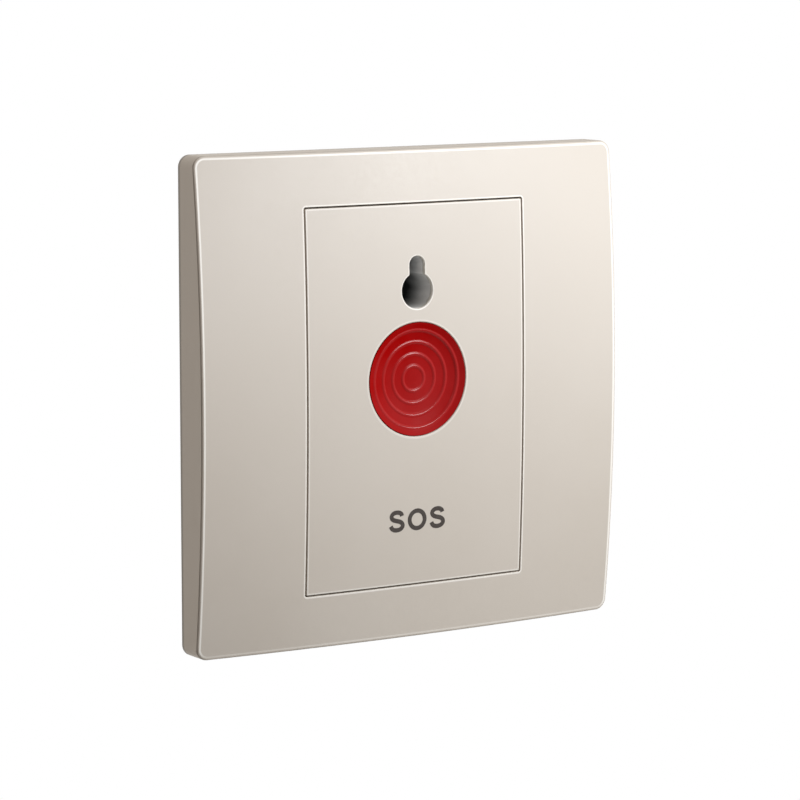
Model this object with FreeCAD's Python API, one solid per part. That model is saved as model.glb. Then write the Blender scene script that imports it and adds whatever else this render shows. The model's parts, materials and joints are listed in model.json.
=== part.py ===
import FreeCAD, Part
import math
import os

from FreeCAD import Vector

# Emergency key switch: a wall plate with a latching call button that a key lets go.
# Millimetres. +Z is up, +X is right, and the front looks towards -Y. The origin is the middle of the
# plate on the wall plane, so the wall is the plane y = 0 and the working parts lie behind it at +Y.

# Plate: outline and thickness of the crowned front, measured from the wall
plate_width = 86.0
plate_height = 86.0
plate_corner_radius = 2.1
thickness_at_corner = 5.0
thickness_at_side = 7.6
thickness_at_top = 7.0
thickness_at_centre = 8.0
plate_edge_radius = 0.4
cover_wall = 2.0

# Window of the cover frame, and the panel that fills it
window_width = 45.1
window_height = 67.4
window_corner_radius = 0.4
window_edge_radius = 0.12
collar_wall = 1.2
panel_gap = 0.25
hole_edge_radius = 0.22
panel_wall = 1.6
panel_rim = 1.2

# Button: a dished cap with raised rings, and its stroke
button_z = 2.8
button_radius = 9.9
button_gap = 0.12
button_recess = 0.05
button_travel = 3.5
cap_length = 8.2
cap_wall = 1.5
cap_side_wall = 1.4
cap_edge_radius = 0.15
dish_depth = 1.5
dish_floor_radius = 1.0
ring_first_radius = 2.2
ring_step = 2.12
ring_count = 4
ring_width = 1.2
ring_height = 0.17
profile_step = 0.12
bead_depth = 0.5
bead_length = 0.6

# Keyhole: a round lobe for the key's barrel with a slot above it for the bit
key_lobe_radius = 3.15
key_slot_width = 3.1
key_slot_reach = 6.05
keyhole_lip = 0.6
key_fit = 0.08
guide_wall = 1.0
guide_gap = 0.15
guide_foot_width = 13.0
guide_foot_thickness = 1.2
guide_pin_radius = 0.9
guide_pin_inset = 1.6

# Fixing frame behind the cover
frame_inset = 5.0
frame_plate = 1.4
frame_standoff = 1.2
frame_skirt_wall = 1.6
frame_corner_radius = 3.0
frame_ledge = 0.8
frame_ledge_height = 0.9
frame_rib = 1.2
frame_window_gap = 0.5
box_screw_pitch = 60.3
box_slot_width = 4.4
box_slot_length = 8.0
slot_pad = 2.4

# Clips that hold the cover on the fixing frame
clip_width = 6.0
clip_spread = 42.0
clip_thickness = 1.1
clip_hook = 0.75
clip_hook_height = 1.0
clip_gap = 0.2
cover_rib = 1.0
cover_rib_spread = 56.0
cover_rib_gap = 0.4

# Front housing: flange, tub, and the web between the button's well and the latch
flange_thickness = 1.4
flange_margin = 1.6
tub_width = 43.0
tub_wall = 1.6
tub_corner_radius = 2.5
web_thickness = 1.4
well_end_gap = 0.8
tube_wall = 1.1
tube_gap = 0.25
tube_front_gap = 0.3
tube_rib = 1.2
collar_around_stem = 1.2
boss_radius = 2.9
boss_inset = 4.2

# Panel clips in the tub's side walls
panel_clip_width = 6.0
panel_clip_spread = 40.0
panel_clip_thickness = 1.0
panel_clip_hook = 1.1
panel_clip_hook_height = 1.2
panel_clip_reach = 1.6
panel_clip_gap = 0.2

# Plunger
head_thickness = 1.5
head_gap = 0.15
stem_width = 8.0
stem_corner_radius = 1.6
stem_gap = 0.2
stem_tail = 1.6
stem_end_gap = 0.6

# Key rotor, latch and their travel
rotor_radius = 7.0
rotor_thickness = 3.4
rotor_floor = 0.9
rotor_running_gap = 0.06
rotor_ring_wall = 1.3
key_turn_degrees = 60.0
pin_offset = 2.6
pin_radius = 1.2
slide_gap = 0.2
latch_thickness = 2.0
latch_width = 15.0
latch_travel = 1.6
latch_bite = 1.0
latch_clearance = 0.12
latch_bar = 3.2
latch_beam = 2.1
notch_clearance = 0.2
rail_wall = 1.4
post_width = 10.0
post_thickness = 1.6

# Contacts
strip_thickness = 0.8
strip_width = 4.2
strip_front_gap = 0.7
rivet_radius = 1.4
rivet_head = 0.5
rivet_shank_radius = 0.75
rivet_gap = 0.05
contact_offset = 7.4
bridge_thickness = 0.8
bridge_width = 5.0
bridge_overhang = 1.8
bridge_slot_gap = 0.1
contact_spring_length = 3.6

# Terminals
clamp_size = 7.0
clamp_wall = 1.0
clamp_length = 8.6
clamp_seat_gap = 0.1
clamp_spacing = 10.0
terminal_screw_radius = 1.6
terminal_head_radius = 2.7
terminal_head_length = 2.0
terminal_screw_bite = 0.35
screw_gap = 0.1
screw_slot_width = 0.8
screw_slot_share = 0.55
pocket_rib = 1.0
pocket_gap = 0.2
wire_hole_radius = 1.8

# Rear housing and its screws
rear_wall = 1.8
housing_screw_radius = 1.2
housing_head_radius = 2.1
housing_head_length = 1.5
housing_screw_grip = 4.0
bracket_screw_radius = 1.25
bracket_head_radius = 1.9
bracket_head_length = 1.3

# Springs: wire thickness, mean coil radius and number of turns
return_wire = 0.8
return_coil_radius = 6.4
return_turns = 4.0
contact_wire = 0.4
contact_coil_radius = 1.7
contact_turns = 5.0
latch_wire = 0.3
latch_coil_radius = 0.85
latch_turns = 6.0

# Longer than anything here: solids that are cut back start with it
ample = 60.0


def crown(across, along):
    """The front's distance from the wall, for the squared shares of the plate's half width and height."""
    corner_term = thickness_at_centre - thickness_at_side - thickness_at_top + thickness_at_corner
    return (
        thickness_at_centre
        - (thickness_at_centre - thickness_at_side) * across
        - (thickness_at_centre - thickness_at_top) * along
        + corner_term * across * along
    )


def front_thickness(x, z):
    """How far the plate's crowned front stands from the wall at x, z."""
    return crown((2.0 * x / plate_width) ** 2, (2.0 * z / plate_height) ** 2)


# Levels along Y, front to back
button_face = -front_thickness(0, button_z) + button_recess
dish_floor = button_face + dish_depth
cap_web_back = dish_floor + cap_wall
head_back = cap_web_back + head_thickness
skirt_end = button_face + cap_length
frame_back = -frame_standoff
frame_front = frame_back - frame_plate
flange_front = frame_front - flange_thickness
web_front = skirt_end + button_travel + well_end_gap
web_back = web_front + web_thickness
rotor_front = web_back + slide_gap
rotor_back = rotor_front + rotor_thickness
ring_end = rotor_back + slide_gap
latch_front = ring_end + slide_gap
latch_back = latch_front + latch_thickness
split = latch_back + slide_gap
rest_strip_front = split + strip_front_gap
bridge_front = rest_strip_front + strip_thickness + 2 * rivet_head + rivet_gap
bridge_back = bridge_front + bridge_thickness
call_strip_front = bridge_back + 2 * rivet_head + button_travel + rivet_gap
call_strip_back = call_strip_front + strip_thickness
bridge_slot_end = bridge_back + contact_spring_length
stem_end = bridge_slot_end + stem_tail
rear_inner = stem_end + button_travel + stem_end_gap
rear_outer = rear_inner + rear_wall
clamp_back = rear_inner - clamp_seat_gap
clamp_front = clamp_back - clamp_length
terminal_screw_y = (clamp_front + clamp_back) / 2

# Places across the plate
panel_width = window_width - 2 * panel_gap
panel_height = window_height - 2 * panel_gap
tube_inner = button_radius + tube_gap
tube_outer = tube_inner + tube_wall
key_z = button_z + tube_outer + guide_gap + guide_wall + key_lobe_radius
ring_outer = rotor_radius + rotor_running_gap + rotor_ring_wall
tub_inner_height = 2 * (key_z + ring_outer)
tub_height = tub_inner_height + 2 * tub_wall
tub_inner_width = tub_width - 2 * tub_wall
flange_width = window_width + 2 * flange_margin
flange_height = window_height + 2 * flange_margin
frame_width = plate_width - 2 * frame_inset
frame_height = plate_height - 2 * frame_inset
stem_top = button_z + stem_width / 2
stem_bottom = button_z - stem_width / 2
latch_tongue = stem_top + latch_clearance
latch_slot_bottom = stem_bottom - latch_travel - notch_clearance
pin_start = math.radians(key_turn_degrees / 2)
pin_rest_x = -pin_offset * math.cos(pin_start)
pin_rest_z = key_z - pin_offset * math.sin(pin_start)
latch_pin_face = pin_rest_z + pin_radius + latch_bite + notch_clearance
latch_top = latch_pin_face + latch_beam
clamp_outer = tub_inner_width / 2 - terminal_head_length - 2 * screw_gap
clamp_inner = clamp_outer - clamp_size
tail_inner = clamp_inner + clamp_wall + screw_gap
tail_outer = tail_inner + strip_thickness
wire_x = (tail_outer + clamp_outer - clamp_wall - terminal_screw_bite) / 2
rest_clamp_z = button_z + clamp_spacing
call_clamp_z = button_z - clamp_spacing
boss_x = tub_width / 2 - boss_inset
boss_z = tub_height / 2 - boss_inset
keyhole_back = keyhole_lip - front_thickness(0, key_z)
bracket_screw_x = panel_width / 2 - panel_rim - bracket_head_radius - tub_wall
bracket_screw_z = (tub_height / 2 + panel_height / 2 - panel_rim) / 2


def box(x0, x1, y0, y1, z0, z1):
    """A block between two corners."""
    return Part.makeBox(x1 - x0, y1 - y0, z1 - z0, Vector(x0, y0, z0))


def round_bar(radius, y0, y1, x=0.0, z=0.0):
    """A cylinder along Y."""
    return Part.makeCylinder(radius, y1 - y0, Vector(x, y0, z), Vector(0, 1, 0))


def cross_bar(radius, x0, x1, y, z):
    """A cylinder along X."""
    return Part.makeCylinder(radius, x1 - x0, Vector(x0, y, z), Vector(1, 0, 0))


def rounded_block(width, height, radius, y0, y1, x=0.0, z=0.0):
    """A block about x, z with its four edges along Y rounded."""
    block = box(x - width / 2, x + width / 2, y0, y1, z - height / 2, z + height / 2)
    radius = min(radius, 0.49 * min(width, height))
    edges = [e for e in block.Edges if e.BoundBox.YLength > 0.5 * (y1 - y0)]
    return block.makeFillet(radius, edges)


def join(first, *others):
    """One solid of several that meet."""
    return first.fuse(list(others)).removeSplitter()


def mirrored(shape):
    """The same shape on the other side of the plate's middle."""
    return shape.mirror(Vector(0, 0, 0), Vector(1, 0, 0))


def behind_front(depth):
    """All that lies behind the crowned front by depth or more."""
    patch = Part.BezierSurface()
    patch.increase(2, 2)
    # A parabola's middle control point lies as far beyond its top as its ends lie short of it
    squares = (1.0, -1.0, 1.0)
    for i, across in enumerate(squares):
        for j, along in enumerate(squares):
            x = (i - 1) * plate_width / 2
            z = (j - 1) * plate_height / 2
            patch.setPole(i + 1, j + 1, Vector(x, depth - crown(across, along), z))
    return patch.toShape().extrude(Vector(0, ample, 0))


def key_shape(grow, y0, y1):
    """The keyhole's outline, grown by an allowance, as a bar along Y."""
    half = key_slot_width / 2 + grow
    top = key_z + key_slot_reach - key_slot_width / 2
    lobe = round_bar(key_lobe_radius + grow, y0, y1, 0, key_z)
    return join(lobe, box(-half, half, y0, y1, key_z, top), round_bar(half, y0, y1, 0, top))


def coil(wire, radius, turns, y0, y1, x, z):
    """A spring along Y that fills the space from y0 to y1, its turns made of half rings tilted by turns."""
    halves = round(2 * turns)
    rise = (y1 - y0 - wire) / halves
    end = Part.Face(Part.Wire([Part.makeCircle(wire / 2, Vector(radius, 0, 0), Vector(0, 0, 1))]))
    half = end.revolve(Vector(0, rise / 2, 0), Vector(rise, 2 * radius, 0), 180)
    rings = []
    for i in range(halves):
        ring = half.copy()
        ring.rotate(Vector(0, 0, 0), Vector(0, 1, 0), 180 * i)
        ring.translate(Vector(x, y0 + wire / 2 + i * rise, z))
        rings.append(ring)
    return rings[0].fuse(rings[1:]).Solids[0]


def slotted_screw(shank, length, head, head_length):
    """A cylinder-head screw along +Y whose head starts at y = 0 and whose shank follows it."""
    screw = join(round_bar(head, 0, head_length), round_bar(shank, head_length, head_length + length))
    depth = screw_slot_share * head_length
    slot_cut = box(-ample, ample, -1, depth, -screw_slot_width / 2, screw_slot_width / 2)
    rim = [e for e in screw.Edges if e.BoundBox.YMax < 0.01]
    return screw.makeFillet(0.15 * head_length, rim).cut(slot_cut)


def cover_clip():
    """One clip of the cover on the upper side: a leg with a hook that catches the frame's ledge."""
    inner = frame_height / 2 + frame_ledge + clip_gap
    outer = inner + clip_thickness
    hook_front = frame_front + frame_ledge_height + clip_gap
    leg = box(-clip_width / 2, clip_width / 2, -ample, -clip_gap, inner, outer)
    corners = [
        (hook_front, inner),
        (hook_front, inner - clip_hook),
        (hook_front + 0.3 * clip_hook_height, inner - clip_hook),
        (hook_front + clip_hook_height, inner),
    ]
    hook = wedge(corners, clip_width)
    return leg.common(behind_front(cover_wall / 2)).fuse(hook)


def wedge(corners, width):
    """A bar along X, centred, whose section is a polygon of (y, z) corners."""
    points = [Vector(-width / 2, y, z) for y, z in corners]
    return Part.Face(Part.makePolygon(points + points[:1])).extrude(Vector(width, 0, 0))


def cover_frame():
    """The outer frame: a crowned shell with rounded edges, a collar round its window, ribs and clips."""
    outer = rounded_block(plate_width, plate_height, plate_corner_radius, -ample, 0)
    outer = outer.common(behind_front(0))
    front_edges = [e for e in outer.Edges if e.BoundBox.YMax < -thickness_at_corner / 2]
    outer = outer.makeFillet(plate_edge_radius, front_edges)
    inner_width = plate_width - 2 * cover_wall
    inner_height = plate_height - 2 * cover_wall
    inner_radius = max(plate_corner_radius - cover_wall, 0.5)
    cavity = rounded_block(inner_width, inner_height, inner_radius, -ample, ample)
    frame = outer.cut(cavity.common(behind_front(cover_wall)))
    collar_end = flange_front - cover_rib_gap / 2
    collar = rounded_block(
        window_width + 2 * collar_wall,
        window_height + 2 * collar_wall,
        window_corner_radius + collar_wall,
        -ample,
        collar_end,
    )
    flange_room = rounded_block(
        flange_width + 2 * cover_rib_gap,
        flange_height + 2 * cover_rib_gap,
        tub_corner_radius + cover_rib_gap,
        flange_front - cover_rib_gap,
        ample,
    )
    ribs = cover_ribs().common(behind_front(cover_wall / 2)).common(cavity).cut(flange_room)
    frame = frame.fuse([collar.common(behind_front(cover_wall / 2)), ribs] + cover_clips())
    opening = rounded_block(window_width, window_height, window_corner_radius, -ample, ample)
    frame = frame.cut(opening).removeSplitter()
    rim = [e for e in frame.Edges if in_front_rim(e, window_width, window_height)]
    return frame.makeFillet(window_edge_radius, rim)


def in_front_rim(edge, width, height):
    """Whether an edge is part of a rectangle of this size on the crowned front."""
    room = edge.BoundBox
    inside = max(-room.XMin, room.XMax) < width / 2 + 0.01
    inside = inside and max(-room.ZMin, room.ZMax) < height / 2 + 0.01
    on_sides = all(
        abs(abs(v.X) - width / 2) < window_corner_radius + 0.01
        or abs(abs(v.Z) - height / 2) < window_corner_radius + 0.01
        for v in edge.Vertexes
    )
    return inside and on_front(edge) and on_sides


def on_front(edge):
    """Whether an edge lies on the crowned front."""
    places = [edge.valueAt(edge.FirstParameter), edge.valueAt(edge.LastParameter)]
    places.append(edge.valueAt((edge.FirstParameter + edge.LastParameter) / 2))
    return all(abs(p.y + front_thickness(p.x, p.z)) < 0.01 for p in places)


def cover_ribs():
    """Ribs from the collar to the side walls, clear of the fixing frame."""
    ends = frame_front - cover_rib_gap
    half_x = plate_width / 2
    half_z = plate_height / 2
    ribs = []
    for place in (-cover_rib_spread / 2, cover_rib_spread / 2):
        low = place - cover_rib / 2
        high = place + cover_rib / 2
        for side in (-1, 1):
            inner = side * window_width / 2
            reach = sorted((inner, side * half_x))
            ribs.append(box(reach[0], reach[1], -ample, ends, low, high))
    for place in (-window_width / 4, window_width / 4):
        low = place - cover_rib / 2
        high = place + cover_rib / 2
        for side in (-1, 1):
            reach = sorted((side * window_height / 2, side * half_z))
            ribs.append(box(low, high, -ample, ends, reach[0], reach[1]))
    return Part.makeCompound(ribs)


def cover_clips():
    """Two clips on each side of the cover."""
    clips = []
    for turn in (0, 90, 180, 270):
        shift = 0.0 if turn % 180 == 0 else (frame_width - frame_height) / 2
        for place in (-clip_spread / 2, clip_spread / 2):
            clip = cover_clip()
            clip.translate(Vector(place, 0, shift))
            clip.rotate(Vector(0, 0, 0), Vector(0, 1, 0), turn)
            clips.append(clip)
    return clips


def panel_clip():
    """A clip of the panel on the right: a leg down the tub's side wall with a hook in its window."""
    wall = tub_inner_width / 2
    outer = wall - panel_clip_gap
    inner = outer - panel_clip_thickness
    half = panel_clip_width / 2
    leg = box(inner, outer, -ample, panel_clip_reach, -half, half)
    top = panel_clip_reach - panel_clip_hook_height
    points = [
        Vector(outer, top, -half),
        Vector(outer + panel_clip_hook, top, -half),
        Vector(outer + panel_clip_hook, top + 0.3 * panel_clip_hook_height, -half),
        Vector(outer, panel_clip_reach, -half),
    ]
    hook = Part.Face(Part.makePolygon(points + points[:1])).extrude(Vector(0, 0, 2 * half))
    return leg.common(behind_front(panel_wall / 2)).fuse(hook)


def panel_clips():
    """The panel's clips, two on each side."""
    clips = []
    for place in (-panel_clip_spread / 2, panel_clip_spread / 2):
        clip = panel_clip()
        clip.translate(Vector(0, 0, place))
        clips += [clip, mirrored(clip)]
    return clips


def centre_panel():
    """The panel in the window: a crowned shell with a rim, holes for button and key, ribs and clips."""
    radius = max(window_corner_radius - panel_gap, 0.2)
    body = rounded_block(panel_width, panel_height, radius, -ample, flange_front)
    body = body.common(behind_front(0))
    rim = [e for e in body.Edges if in_front_rim(e, panel_width, panel_height)]
    body = body.makeFillet(window_edge_radius, rim)
    hollow_width = panel_width - 2 * panel_rim
    hollow_height = panel_height - 2 * panel_rim
    hollow = rounded_block(hollow_width, hollow_height, 0.5, -ample, ample)
    panel = body.cut(hollow.common(behind_front(panel_wall)))
    panel = panel.fuse(panel_clips() + panel_ribs(hollow_width))
    button_hole = round_bar(button_radius + button_gap, -ample, ample, 0, button_z)
    guide_recess = key_shape(guide_wall + guide_gap, keyhole_back, ample)
    panel = panel.cut(button_hole.fuse([key_shape(0, -ample, ample), guide_recess])).removeSplitter()
    hole_rims = [e for e in panel.Edges if on_front(e) and not in_front_rim(e, panel_width, panel_height)]
    return panel.makeFillet(hole_edge_radius, hole_rims)


def panel_ribs(length):
    """Three stiffening ribs across the panel's back, below the button."""
    back = flange_front - cover_rib_gap
    top = button_z - tube_outer - 2 * cover_rib
    bottom = bracket_head_radius + panel_gap - bracket_screw_z
    count = 3
    ribs = []
    for i in range(count):
        z = top + (bottom - top) * (i + 0.5) / count
        rib = box(-length / 2, length / 2, -ample, back, z - cover_rib / 2, z + cover_rib / 2)
        ribs.append(rib.common(behind_front(panel_wall / 2)))
    return ribs


def dish_level(radius):
    """Level of the cap's front at a radius: flat in the middle, rising to the rim, with rounded rings."""
    rim = button_radius - cap_edge_radius
    rise = max(0.0, radius - dish_floor_radius) / (rim - dish_floor_radius)
    level = dish_floor - dish_depth * rise**3
    for i in range(ring_count):
        off = abs(radius - ring_first_radius - i * ring_step) / ring_width
        if off < 0.5:
            level -= ring_height * math.cos(math.pi * off) ** 2
    return level


def cap_profile():
    """Half section of the button's cap as a loop in the plane z = 0, radius along X."""
    outer = button_radius
    inner = button_radius - cap_side_wall
    rim = outer - cap_edge_radius
    steps = round(rim / profile_step)
    points = [Vector(rim * i / steps, dish_level(rim * i / steps), 0) for i in range(steps + 1)]
    front = Part.BSplineCurve()
    front.interpolate(points)
    turn = cap_edge_radius * (1 - math.sqrt(0.5))
    shoulder = Vector(outer, button_face + cap_edge_radius, 0)
    edges = [
        front.toShape(),
        Part.Arc(points[-1], Vector(outer - turn, button_face + turn, 0), shoulder).toShape(),
    ]
    bead_front = head_back + head_gap
    corners = [
        shoulder,
        Vector(outer, skirt_end, 0),
        Vector(inner, skirt_end, 0),
        Vector(inner, bead_front + bead_length, 0),
        Vector(inner - bead_depth, bead_front + bead_length / 2, 0),
        Vector(inner, bead_front, 0),
        Vector(inner, cap_web_back, 0),
        Vector(0, cap_web_back, 0),
        points[0],
    ]
    for a, b in zip(corners, corners[1:]):
        edges.append(Part.LineSegment(a, b).toShape())
    return Part.Wire(edges)


def push_button():
    """The cap: a dish with raised rings, and a skirt whose bead snaps over the plunger's head."""
    cap = Part.Face(cap_profile()).revolve(Vector(0, 0, 0), Vector(0, 1, 0), 360)
    cap.translate(Vector(0, 0, button_z))
    return cap


def plunger():
    """The stem behind the cap, with the latch's notch and the slot that carries the contact bridge."""
    head = round_bar(button_radius - cap_side_wall - head_gap, cap_web_back, head_back, 0, button_z)
    stem = rounded_block(stem_width, stem_width, stem_corner_radius, cap_web_back, stem_end, 0, button_z)
    notch_front = latch_front - button_travel - notch_clearance
    notch_back = latch_back - button_travel + notch_clearance
    depth = latch_bite + latch_clearance + notch_clearance
    notch = box(-stem_width, stem_width, notch_front, notch_back, stem_top - depth, ample)
    half = bridge_width / 2 + bridge_slot_gap
    slot = box(-ample, ample, bridge_front, bridge_slot_end, button_z - half, button_z + half)
    return join(head, stem).cut(notch.fuse(slot))


def return_spring():
    """Pushes the button out: between the plunger's head and the web."""
    return coil(return_wire, return_coil_radius, return_turns, head_back, web_front, 0, button_z)


def contact_spring():
    """Presses the contact bridge forward in the stem's slot."""
    return coil(contact_wire, contact_coil_radius, contact_turns, bridge_back, bridge_slot_end, 0, button_z)


def latch_spring():
    """Presses the latch down onto the stem: from the latch's top to the tub's upper wall."""
    middle = (latch_front + latch_back) / 2
    spring = coil(latch_wire, latch_coil_radius, latch_turns, 0, tub_inner_height / 2 - latch_top, 0, 0)
    spring.rotate(Vector(0, 0, 0), Vector(1, 0, 0), 90)
    spring.translate(Vector(0, middle, latch_top))
    return spring


def latch_slider():
    """A plate with a window round the stem, a bevelled tongue, and a slot for the rotor's pin."""
    bottom = latch_slot_bottom - latch_bar
    half = latch_width / 2
    plate = box(-half, half, latch_front, latch_back, bottom, latch_top)
    corners = [e for e in plate.Edges if e.BoundBox.YLength > 0.5 * latch_thickness]
    plate = plate.makeFillet(1.0, corners)
    open_half = stem_width / 2 + stem_gap
    window = box(-open_half, open_half, -ample, ample, latch_slot_bottom, latch_tongue)
    bevel = 0.5 * latch_thickness
    ramp = [
        (latch_front - 1, latch_tongue),
        (latch_front - 1, latch_tongue + bevel + 1),
        (latch_front + bevel, latch_tongue),
    ]
    reach = pin_offset * (1 - math.cos(pin_start)) + pin_radius + notch_clearance
    pin_slot = box(
        -pin_offset - pin_radius - notch_clearance,
        pin_rest_x + reach,
        -ample,
        ample,
        pin_rest_z - pin_radius - notch_clearance,
        latch_pin_face,
    )
    plate = plate.cut(window.fuse([wedge(ramp, 2 * open_half), pin_slot]))
    spigot = Part.makeCylinder(
        latch_coil_radius - latch_wire,
        latch_travel,
        Vector(0, (latch_front + latch_back) / 2, latch_top - 0.1),
        Vector(0, 0, 1),
    )
    return plate.fuse(spigot).removeSplitter()


def key_rotor():
    """The disc that the key turns: a keyed pocket in front and the pin that lifts the latch behind."""
    disc = round_bar(rotor_radius, rotor_front, rotor_back, 0, key_z)
    rims = [e for e in disc.Edges if len(e.Vertexes) == 1]
    disc = disc.makeChamfer(0.3, rims)
    pocket = key_shape(key_fit, rotor_front - 1, rotor_back - rotor_floor)
    pin = round_bar(pin_radius, rotor_back - 0.1, latch_back, pin_rest_x, pin_rest_z)
    return disc.cut(pocket).fuse(pin).removeSplitter()


def key_guide():
    """The keyed tube that leads the key from the panel to the rotor, on a foot that sits on the web."""
    tube = key_shape(guide_wall, keyhole_back + guide_gap, web_front)
    foot_bottom = key_z - key_lobe_radius - guide_wall + guide_gap
    foot_top = tub_inner_height / 2 - guide_gap
    foot = rounded_block(
        guide_foot_width,
        foot_top - foot_bottom,
        1.0,
        web_front - guide_foot_thickness,
        web_front,
        0,
        (foot_top + foot_bottom) / 2,
    )
    guide = join(tube, foot).cut(key_shape(0, -ample, ample))
    for x in (-guide_pin_x(), guide_pin_x()):
        guide = guide.cut(round_bar(guide_pin_radius + guide_gap / 2, -ample, ample, x, guide_pin_z()))
    return guide


def guide_pin_x():
    """How far the guide's locating pins stand from the middle."""
    return guide_foot_width / 2 - guide_pin_inset


def guide_pin_z():
    """The height of the guide's locating pins."""
    return tub_inner_height / 2 - guide_gap - guide_pin_inset


def fixing_frame():
    """The frame that is screwed to the wall box: plate, skirt, ledge, collar, pads and ribs."""
    window_x = tub_width + 2 * frame_window_gap
    window_z = tub_height + 2 * frame_window_gap
    radius = tub_corner_radius + frame_window_gap
    plate = rounded_block(frame_width, frame_height, frame_corner_radius, frame_front, frame_back)
    skirt = rounded_block(frame_width, frame_height, frame_corner_radius, frame_front, 0)
    inner_radius = max(frame_corner_radius - frame_skirt_wall, 0.5)
    inside = rounded_block(
        frame_width - 2 * frame_skirt_wall,
        frame_height - 2 * frame_skirt_wall,
        inner_radius,
        frame_front - 1,
        1,
    )
    ledge = rounded_block(
        frame_width + 2 * frame_ledge,
        frame_height + 2 * frame_ledge,
        frame_corner_radius + frame_ledge,
        frame_front,
        frame_front + frame_ledge_height,
    )
    collar = rounded_block(
        window_x + 2 * frame_rib, window_z + 2 * frame_rib, radius + frame_rib, frame_front, 0
    )
    pads = [slot_bar(box_slot_length + 2 * slot_pad, box_slot_width + 2 * slot_pad, s) for s in (-1, 1)]
    frame = join(ledge, plate, skirt.cut(inside), collar, frame_ribs().common(inside), *pads)
    cuts = [rounded_block(window_x, window_z, radius, -ample, ample)]
    cuts += [slot_bar(box_slot_length, box_slot_width, s, ample) for s in (-1, 1)]
    for x, z in four(bracket_screw_x, bracket_screw_z):
        frame = frame.fuse(round_bar(2 * bracket_screw_radius, frame_front, 0, x, z))
        cuts.append(round_bar(bracket_screw_radius + screw_gap / 2, -ample, ample, x, z))
    return frame.cut(cuts[0].fuse(cuts[1:])).removeSplitter()


def four(x, z):
    """The four places that mirror one another about the plate's middle."""
    return [(-x, -z), (x, -z), (x, z), (-x, z)]


def slot_bar(length, width, side, reach=0.0):
    """A bar with round ends about one box-screw slot; reach makes it a cutter longer than the frame."""
    front = frame_front - reach
    back = reach
    middle = side * box_screw_pitch / 2
    return rounded_block(length, width, width / 2, front, back, middle, 0)


def frame_ribs():
    """Ribs on the fixing frame's back, from its collar to its skirt."""
    ribs = []
    half_x = frame_width / 2
    half_z = frame_height / 2
    window_x = tub_width / 2 + frame_window_gap
    window_z = tub_height / 2 + frame_window_gap
    for z in (-half_z / 2, half_z / 2):
        for low, high in ((-half_x, -window_x), (window_x, half_x)):
            ribs.append(box(low, high, frame_front, 0, z - frame_rib / 2, z + frame_rib / 2))
    for x in (-window_x / 2, window_x / 2):
        for low, high in ((-half_z, -window_z), (window_z, half_z)):
            ribs.append(box(x - frame_rib / 2, x + frame_rib / 2, frame_front, 0, low, high))
    return Part.makeCompound(ribs)


def front_housing():
    """Flange and tub with the button's well, the web, the rotor's ring, rails and screw bosses."""
    flange = rounded_block(flange_width, flange_height, tub_corner_radius, flange_front, frame_front)
    tub = rounded_block(tub_width, tub_height, tub_corner_radius, flange_front, split)
    inner_radius = tub_corner_radius - tub_wall / 2
    well = rounded_block(tub_inner_width, tub_inner_height, inner_radius, flange_front - 1, web_front)
    back = rounded_block(tub_inner_width, tub_inner_height, inner_radius, web_back, split + 1)
    room = rounded_block(tub_inner_width, tub_inner_height, inner_radius, flange_front, split)
    body = join(flange, tub).cut(well.fuse(back))
    tube_front = panel_wall - front_thickness(0, button_z + tube_outer) + tube_front_gap
    ring = round_bar(ring_outer, web_front, ring_end, 0, key_z)
    collar_size = stem_width + 2 * stem_gap + 2 * collar_around_stem
    added = [
        round_bar(tube_outer, tube_front, web_back, 0, button_z),
        wide_rib(tub_width, flange_front, button_z),
        box(-tube_rib / 2, tube_rib / 2, frame_front, web_back, -tub_height / 2, button_z),
        ring.common(room),
        rounded_block(collar_size, collar_size, stem_corner_radius, web_front, ring_end, 0, button_z),
    ]
    added += [rail for side in (-1, 1) for rail in latch_rails(side)]
    added += [round_bar(boss_radius, web_front, split, x, z) for x, z in four(boss_x, boss_z)]
    body = body.fuse(added)
    hole = stem_width + 2 * stem_gap
    cuts = [
        round_bar(tube_inner, -ample, web_front, 0, button_z),
        round_bar(key_slot_reach + stem_gap, web_front - 1, web_back + 1, 0, key_z),
        round_bar(rotor_radius + rotor_running_gap, web_back, ample, 0, key_z),
        rounded_block(hole, hole, stem_corner_radius, -ample, ample, 0, button_z),
    ]
    cuts += clip_windows()
    screw_hole = housing_screw_radius + screw_gap / 2
    for x, z in four(boss_x, boss_z):
        cuts.append(round_bar(screw_hole, split - housing_screw_grip, ample, x, z))
    for x, z in four(bracket_screw_x, bracket_screw_z):
        cuts.append(round_bar(bracket_screw_radius + screw_gap, -ample, frame_front + 1, x, z))
    body = body.cut(cuts[0].fuse(cuts[1:]))
    pins = []
    for x in (-guide_pin_x(), guide_pin_x()):
        foot_front = web_front - guide_foot_thickness
        pins.append(round_bar(guide_pin_radius, foot_front, web_back, x, guide_pin_z()))
    return body.fuse(pins).removeSplitter()


def wide_rib(width, front, z):
    """A rib across the well, from its front to the web's back."""
    return box(-width / 2, width / 2, front, web_back, z - tube_rib / 2, z + tube_rib / 2)


def latch_rails(side):
    """Rail beside the latch on one side, with the step that the latch slides on."""
    inner = latch_width / 2 + slide_gap
    bottom = latch_slot_bottom - latch_bar
    top = key_z - ring_outer
    rail = sorted((side * inner, side * (inner + rail_wall)))
    step = sorted((side * (inner - rail_wall), side * (inner + rail_wall)))
    return [
        box(rail[0], rail[1], web_front, split, bottom, top),
        box(step[0], step[1], web_front, ring_end, bottom, top),
    ]


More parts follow.
